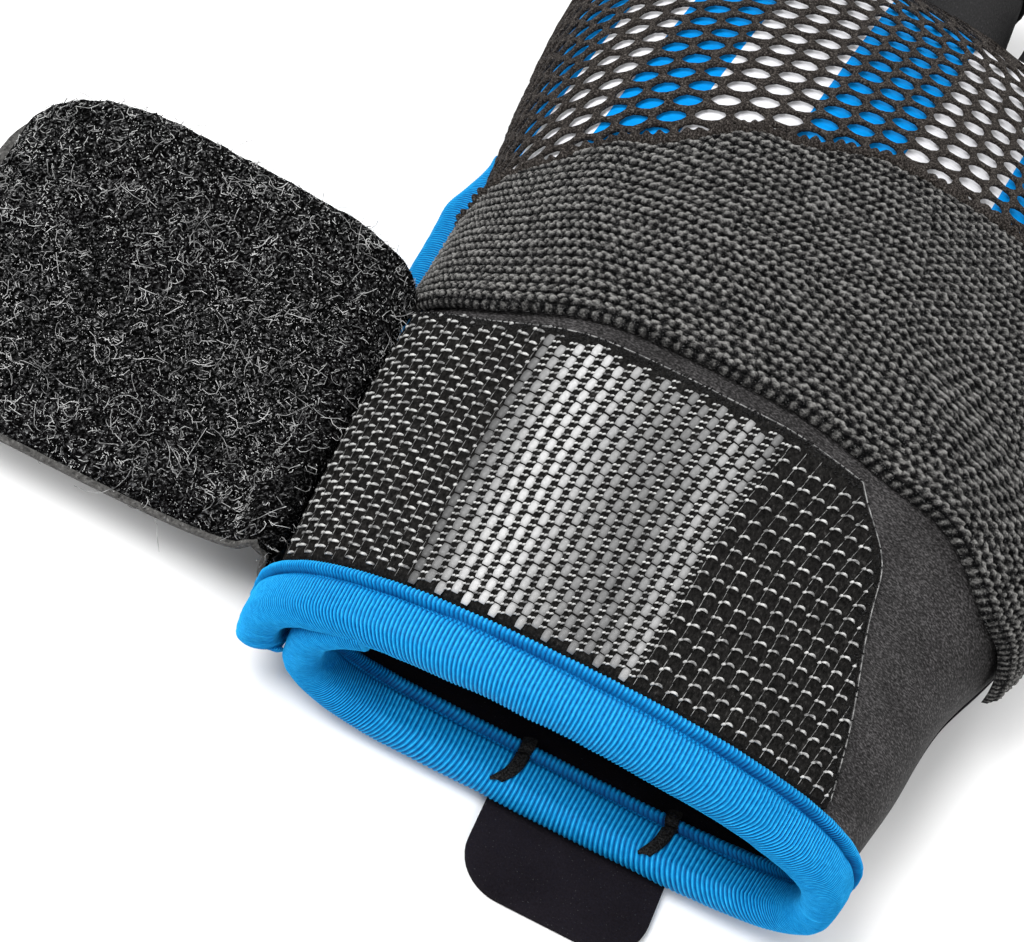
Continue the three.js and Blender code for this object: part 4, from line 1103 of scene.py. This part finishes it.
def netCloth(hem):
    knots, faces = {}, []
    cellX, cellY = net["cellStep"]
    rowX, rowY = net["rowStep"]
    half = net["width"] / 2

    def flatSpot(k, j):
        zig = (1 if (k + j) % 2 == 0 else -1) * net["zigzag"]
        return (k / 2 * cellX + (j + zig) * rowX, net["middleY"] + k / 2 * cellY + (j + zig) * rowY, 0.0)

    def knot(k, j):
        if (k, j) not in knots:
            knots[(k, j)] = (len(knots), flatSpot(k, j))
        return knots[(k, j)][0]

    for j in range(-net["rows"], net["rows"]):
        for k in range(-2 * net["cells"] + j % 2, 2 * net["cells"], 2):
            ring = [(k, j), (k + 1, j), (k + 2, j), (k + 2, j + 1), (k + 1, j + 1), (k, j + 1)]
            x, y, _ = np.mean([flatSpot(*spot) for spot in ring], axis=0)
            start = netStart(0.5 - x / net["width"]) - net["lap"]
            if abs(x) < half and start < y < net["end"] * hand["length"]:
                faces.append([knot(*spot) for spot in ring])
    piece = meshPiece("net_mesh", [spot for _, spot in knots.values()], faces)
    inset = {"thickness": net["strand"] / 2, "use_individual": True, "use_even_offset": True}
    inEdit(piece, outwards, (bpy.ops.mesh.inset, inset), (bpy.ops.mesh.delete, {"type": "ONLY_FACE"}))
    modified(piece, "SOLIDIFY", thickness=net["thickness"], offset=1)
    modified(piece, "SUBSURF", levels=1, render_levels=1)
    flat = spotsOf(piece)
    wobble = net["wobble"] * drift(flat[:, 0] * 1.3 + 200, flat[:, 1] * 1.3, 1, 41)
    across = np.clip(flat[:, 0] + wobble * 0.5, -half, half)
    lift = np.maximum(flat[:, 2] + wobble * 0.5, 0.05)
    placeSpots(piece, toFrame(*netPoint(across, flat[:, 1] + wobble * 0.3, lift)))
    keep(smoothed(piece, 80), "net", ["net_overlay"])


netGather = {"length": 100, "lumpPitch": 1.5, "sway": 0.4, "reach": 1.15, "rise": 1.6, "lift": 0.2}


def netHem():  # the net's gathered edge, sewn on the band's far edge
    def place(across, v):
        u = 1 - across
        turn = v * math.pi
        length = across * netGather["length"]
        lump = 1 + 0.2 * np.cos(2 * math.pi * (length / netGather["lumpPitch"] + v))
        lump = lump + 0.3 * drift(length, v * 4, 1.6, 51)
        sway = netGather["sway"] * drift(length, 0 * v, 9, 52)
        y = netStart(u) + netGather["lift"] + sway - netGather["reach"] * np.cos(turn) * lump
        rise = netGather["lift"] + netGather["rise"] * np.sin(turn) * lump
        return *handPoint(y, backAngle(y, u), bandLift(u) + rise), 0.5 + 0.5 * np.sin(turn)

    piece = clothGrid("net_hem", 560, 12, place, (netGather["length"], 5))
    return keep(smoothed(piece, 80), "net")


netCloth(netHem())
print("net knotted")

strap = {
    "width": 50.5, "start": 10, "reach": 58, "backing": 0.9, "pile": 3.1, "corner": 15, "rise": 1.5,
    "pitch": 0.26, "seat": 1.7, "margin": 0.25, "climb": 6, "settle": 1, "edgeRound": 0.35, "steps": 160,
}
strapSeam = [
    {"near": 0.6, "far": 0.6},
    {"near": 0.36, "far": 0.32},
    {"near": 0.14, "far": 0.0},
    {"near": -0.02, "far": -0.32},
]
strapRows = [
    {"out": 0.04, "up": 0.6, "tilt": 0.5},
    {"out": 0.14, "up": 0.9, "tilt": 0.8},
    {"out": 0.32, "up": 1.0, "tilt": 0.95},
    {"out": 0.66, "up": 1.0, "tilt": 1.0},
    {"out": 1.0, "up": 0.84, "tilt": 1.0},
]


def strapCurve(y, samples=24):  # points of the strap's path at one y, evenly spaced, as x and z
    bandStart = bandRows[-1]["low"] * hand["length"]
    onBand = ease(y, bandStart - strap["climb"], bandStart - strap["settle"])
    under = mix(hand["gap"] + binding["cloth"], float(bandLift(1)) + band["thickness"], onBand)
    clear = under + 1.3 * hand["gap"] + strap["seat"]
    across = min(max((y - strap["start"]) / strap["width"], 0), 1)
    anchors = []
    for row in strapSeam:
        drop = mix(row["near"], row["far"], across) * sideHeight
        x, _, z = handPoint(y, seamAngle(y, 1, drop), clear)
        anchors.append((float(x), float(z)))
    lean = strap["pitch"] * (y - strap["start"] - strap["width"] / 2)
    base = anchors[-1]
    for row in strapRows:
        rise = row["up"] * strap["rise"] + row["tilt"] * lean
        anchors.append((base[0] - row["out"] * strap["reach"], base[1] + rise))
    points = np.array(anchors)
    points = np.vstack([2 * points[0] - points[1], points, 2 * points[-1] - points[-2]])
    line = []
    t = np.linspace(0, 1, samples, endpoint=False)[:, None]
    for i in range(1, len(points) - 2):
        p0, p1, p2, p3 = points[i - 1 : i + 3]
        d0, d1, d2 = (max(np.linalg.norm(b - a) ** 0.5, 1e-4) for a, b in ((p0, p1), (p1, p2), (p2, p3)))
        m1 = ((p1 - p0) / d0 - (p2 - p0) / (d0 + d1) + (p2 - p1) / d1) * d1
        m2 = ((p2 - p1) / d1 - (p3 - p1) / (d1 + d2) + (p3 - p2) / d2) * d1
        line.append(p1 + m1 * t + (3 * (p2 - p1) - 2 * m1 - m2) * t**2 + (2 * (p1 - p2) + m1 + m2) * t**3)
    line = np.vstack(line + [points[-2:-1]])
    run = np.concatenate([[0], np.cumsum(np.linalg.norm(np.diff(line, axis=0), axis=1))])
    return run / run[-1], line


strapYs = np.linspace(strap["start"] - 1, strap["start"] + strap["width"] + 1, 60)
strapTables = []
for strapY in strapYs:
    share, line = strapCurve(float(strapY))
    even = np.linspace(0, 1, strap["steps"] + 1)
    strapTables.append(np.stack([np.interp(even, share, axis) for axis in line.T], 1))
strapTables = np.array(strapTables)


def strapPoint(u, w, inset, offset):  # u along, w from -1 to 1 across, offset from the strap's lower face
    left = (1 - u) * (strap["reach"] + strap["rise"])
    short = np.maximum(strap["corner"] - left, 0)
    taken = strap["corner"] - np.sqrt(strap["corner"] ** 2 - short**2)
    y = strap["start"] + strap["width"] / 2 + w * (strap["width"] / 2 - taken - inset)
    i = np.clip((y - strapYs[0]) / (strapYs[1] - strapYs[0]), 0, len(strapYs) - 1.001)
    j = np.clip(u, 0, 1) * strap["steps"]
    i0, j0 = i.astype(int), np.minimum(j.astype(int), strap["steps"] - 1)
    s, t = (i - i0)[:, None], (j - j0)[:, None]
    near = mix(strapTables[i0, j0], strapTables[i0, j0 + 1], t)
    far = mix(strapTables[i0 + 1, j0], strapTables[i0 + 1, j0 + 1], t)
    point = mix(near, far, s)
    nearAlong = strapTables[i0, j0 + 1] - strapTables[i0, j0]
    farAlong = strapTables[i0 + 1, j0 + 1] - strapTables[i0 + 1, j0]
    along = mix(nearAlong, farAlong, s)
    along /= np.linalg.norm(along, axis=1, keepdims=True)
    return point[:, 0] + along[:, 1] * offset, y, point[:, 1] - along[:, 0] * offset


def strapUnderside():
    def place(u, v):
        share = 1 - (1 - u) ** 1.25
        return strapPoint(share, 2 * v - 1, 0.0, strap["backing"] + 0 * u)

    piece = clothGrid("strap_cloth_back", 90, 40, place, (84, 47))
    walled(piece, strap["backing"])
    bevelled(piece, strap["edgeRound"], 2)
    keep(smoothed(piece, 50), "strap", ["strap_backing"])


pileArea = {
    "fromNear": 0.07, "fromFar": 0.12, "to": 0.985, "length": 58, "round": 3.0, "pressed": 0.4,
    "freeFrom": 0.16,
}


def pileHeight(u, w):
    fromEnd = np.minimum(u, 1 - u) * pileArea["length"]
    fromSide = (1 - np.abs(w)) * strap["width"] / 2
    edge = roundedEdge(np.minimum(fromEnd, fromSide), pileArea["round"])
    x, y = u * pileArea["length"], w * strap["width"] / 2
    tuft = 0.35 * drift(x * 1.1, y * 1.1, 1, 61) + 0.4 * drift(x, y, 4.5, 62)
    standing = mix(pileArea["pressed"], 1, ease(u, 0, pileArea["freeFrom"]))
    return strap["backing"] + (strap["pile"] + tuft) * edge * standing


def pilePoint(u, w, lift):
    start = mix(pileArea["fromNear"], pileArea["fromFar"], (w + 1) / 2)
    return strapPoint(mix(start, pileArea["to"], u), w, strap["margin"], pileHeight(u, w) + lift)


def strapPile():
    def place(u, v):
        return pilePoint(u, 2 * v - 1, 0.0)

    piece = clothGrid("pile_bed", 170, 140, place, (62, 54))
    keep(smoothed(piece, 80), "pile", ["strap_pile"])


fibreRows = [  # lengths, radius, base and lift are in mm, and wander is how far a fibre curls
    {
        "name": "light_fibres", "count": 7400, "finish": "fibreLight", "lengths": (1.0, 4.6), "radius": 0.056,
        "base": 0.05, "lift": 0.55, "wander": 1.5, "steps": 5, "seed": 71,
    },
    {
        "name": "dark_fibres", "count": 2400, "finish": "fibreDark", "lengths": (0.9, 2.6), "radius": 0.07,
        "base": 0.0, "lift": 0.5, "wander": 1.2, "steps": 4, "seed": 72,
    },
    {
        "name": "stray_fibres", "count": 240, "finish": "fibreLight", "lengths": (3.0, 9.0), "radius": 0.04,
        "base": 0.2, "lift": 0.8, "wander": 1.0, "steps": 14, "seed": 73,
    },
]


def pileFibres(row):
    def bed(a, b):
        return pilePoint(np.clip(a, 0, 1), b, row["base"])

    random = np.random.RandomState(row["seed"])
    count, steps = row["count"], row["steps"]
    u = random.uniform(0.004, 0.996, count)
    w = random.uniform(-0.99, 0.99, count)
    spots, along, across, normal = basis(bed, u, w, 0.01)
    size = row["lengths"][0] + (row["lengths"][1] - row["lengths"][0]) * random.uniform(0, 1, count) ** 3
    heading = random.uniform(0, 2 * math.pi, count)
    bend = random.normal(0, row["wander"], count) / size * 3
    line = np.empty((count, steps, 3))
    here = spots.copy()
    for k in range(steps):
        share = k / (steps - 1)
        height = row["lift"] * math.sin(math.pi * min(share * 1.15, 1)) * random.uniform(0.4, 1.3, count)
        line[:, k] = here + normal * height[:, None]
        turn = heading + bend * size * share
        stride = (size / (steps - 1))[:, None]
        here = here + (along * np.cos(turn)[:, None] + across * np.sin(turn)[:, None]) * stride
    keep(threads(row["name"], line, normal, row["radius"], row["radius"], 3), row["finish"])


strapUnderside()
strapPile()
for fibreRow in fibreRows:
    pileFibres(fibreRow)
print("strap laid open")

tab = {
    "width": 27, "reach": 14.2, "root": 8, "thickness": 1.1, "clearance": 0.1, "corner": 7, "centre": 9.6,
    "edgeRound": 0.25, "tackSpacing": 24, "tackWidth": 1.7, "tackBend": 2.0, "tackRise": 0.4,
    "tackLift": 0.12, "stitches": 44, "tackThread": 0.3,
}


def pullTab():
    bpy.ops.object.select_all(action="DESELECT")
    length = tab["reach"] + tab["root"]
    middle = (tab["root"] - tab["reach"]) / 2 - hand["origin"]
    height = tab["clearance"] + tab["thickness"] / 2
    bpy.ops.mesh.primitive_cube_add(size=1, location=(tab["centre"] * mm, middle * mm, height * mm))
    piece = bpy.context.object
    piece.name = piece.data.name = "suede_tab"
    piece.scale = (tab["width"] * mm, length * mm, tab["thickness"] * mm)
    bpy.ops.object.transform_apply(location=True, rotation=True, scale=True)
    front = (1 - hand["origin"] - tab["reach"]) * mm
    bpy.ops.object.mode_set(mode="EDIT")
    bpy.ops.mesh.select_mode(type="EDGE")
    bpy.ops.mesh.select_all(action="DESELECT")
    bpy.ops.object.mode_set(mode="OBJECT")
    for edge in piece.data.edges:
        ends = [piece.data.vertices[i].co for i in edge.vertices]
        upright = abs(ends[0].z - ends[1].z) > 0.5 * tab["thickness"] * mm
        edge.select = upright and max(end.y for end in ends) < front
    bpy.ops.object.mode_set(mode="EDIT")
    bpy.ops.mesh.bevel(offset=tab["corner"] * mm, segments=10, affect="EDGES")
    bpy.ops.object.mode_set(mode="OBJECT")
    bevelled(piece, tab["edgeRound"], 3)
    keep(smoothed(piece, 40), "suede", ["pull_tab"])


def underAngle(y, x):  # the angle under the palm whose point lies at x
    left = sectionValue("left", y) * hand["width"]
    right = sectionValue("right", y) * hand["width"]
    share = (2 * x - right + left) / (right + left)
    depth = (1 - np.abs(share) ** hand["underFullness"]) ** (1 / hand["underFullness"])
    return -np.degrees(np.arctan2(depth, share))


def barTacks():  # close stitches that cross the palm's binding, with a hooked end at the ridge
    section = np.linspace(0.5, 0.02, 200)
    reach, outs = tapeOutline(section, cuffTape)
    for name, side in (("tack_left", -1), ("tack_right", 1)):
        share = np.linspace(0, 1, tab["stitches"])
        along = mix(cuffTape["width"] + 0.2, cuffTape["front"] + 1.0, share)
        out = np.interp(along, reach, outs)
        bend = -tab["tackBend"] * share**4
        across = tab["centre"] + side * tab["tackSpacing"] / 2 + bend
        x, y, z = handPoint(along, underAngle(along, across), out)
        centre = np.stack([x, y, z + tab["tackLift"]], 1)
        up = np.tile([0.0, 0.0, 1.0], (len(share), 1))
        heading = np.tile([1.0, 0.3, 0.0], (len(share), 1))
        lines = arcs(centre, heading, up, tab["tackWidth"], tab["tackRise"], 5)
        piece = threads(name, lines, up, tab["tackThread"], tab["tackThread"], 6)
        keep(piece, "thread", [f"bar_{name}"])


pullTab()
barTacks()
print("tab and tacks sewn")


def tube(name, place, size, rings, wall, sides=72):
    piece = clothGrid(name, sides, rings, place, size, closed=True)
    walled(piece, wall)
    return smoothed(piece, 50)


def hemRise(u, v, ribs):  # how far a hem stands out, with knitted ribs and rounded ends
    roundEnd = fingerForm["hemRound"] * np.abs(2 * v - 1) ** 6
    knit = fingerForm["ribHeight"] * np.cos(2 * math.pi * ribs * u)
    return hand["gap"] + fingerForm["hemThickness"] + knit - roundEnd


def fingers():
    for finger in fingerRows:
        name = finger["name"]
        length = fingerForm["length"] * finger["reach"]

        def sleeve(u, v, finger=finger):
            soft = 0.16 * drift(u * 12 % 12, v * 26, 4, 81) * np.sin(math.pi * u) ** 2
            return fingerPoint(finger, v, -360 * u, np.minimum(soft, 0))

        def hem(u, v, finger=finger, length=length):
            t = 1 - (1 - v) * fingerForm["hem"] / length
            return fingerPoint(finger, t, -360 * u, hemRise(u, v, 46))

        around = 3.14 * finger["width"] * hand["width"]
        edge = tube(f"{name}_edge", hem, (around, fingerForm["hem"]), 8, fingerForm["hemWall"], 138)
        keep(edge, "stretch", [f"{name}_hem"])
        piece = tube(f"{name}_tube", sleeve, (around, length), 24, fingerForm["wall"])
        keep(piece, "stretch", [f"{name}_sleeve"])


def thumbTube():
    def sleeve(u, v):
        return thumbPoint(mix(thumb["sleeveFrom"], thumb["length"], v), -360 * u, 0 * u)

    def hem(u, v):
        return thumbPoint(thumb["length"] - (1 - v) * fingerForm["hem"], -360 * u, hemRise(u, v, 56))

    def outside(u, v):  # the hand, which cuts away the sleeve's root
        return handPoint(mix(20, 150, v), -360 * u, 0.25)

    piece = tube("thumb_tube", sleeve, (80, 48), 36, fingerForm["wall"], 80)
    form = clothGrid("hand_form", 96, 60, outside, (1, 1), closed=True)
    inEdit(form, *holesClosed)
    cutWith(piece, [form])
    edge = tube("thumb_edge", hem, (84, fingerForm["hem"]), 8, fingerForm["hemWall"], 168)
    keep(edge, "stretch", ["thumb_hem"])
    keep(piece, "stretch", ["thumb_sleeve"])


fingers()
thumbTube()
print("finger sleeves made")


def studio():
    bpy.ops.object.select_all(action="DESELECT")
    bpy.ops.mesh.primitive_plane_add(size=6, location=(0, 0, 0))
    floor = bpy.context.object
    floor.name = "floor"
    finish = Finish("pale_floor", Roughness=0.8)
    tone = finish.ramp(finish.noise(finish.place(), 3, 2), [(0.3, 0.86), (0.7, 0.88)])
    floor.data.materials.append(finish.feed(Base_Color=tone))
    world = bpy.data.worlds.new("studio")
    bpy.context.scene.world = world
    world.use_nodes = True
    world.node_tree.nodes["Background"].inputs["Color"].default_value = (1, 1, 1, 1)
    world.node_tree.nodes["Background"].inputs["Strength"].default_value = 0.55
    lamps = [
        {"name": "key", "place": (-0.45, -0.25, 0.75), "size": 0.5, "power": 9.0},
        {"name": "fill", "place": (0.6, -0.6, 0.6), "size": 0.8, "power": 4.0},
        {"name": "rim", "place": (0.1, 0.7, 0.55), "size": 0.5, "power": 5.0},
    ]
    aim = Vector((0, -0.03, 0.02))
    for lamp in lamps:
        bpy.ops.object.light_add(type="AREA", location=lamp["place"])
        light = bpy.context.object
        light.name = lamp["name"]
        light.data.size = lamp["size"]
        light.data.energy = lamp["power"]
        light.rotation_euler = (aim - light.location).to_track_quat("-Z", "Y").to_euler()
    bpy.context.scene.view_settings.view_transform = "Standard"


studio()
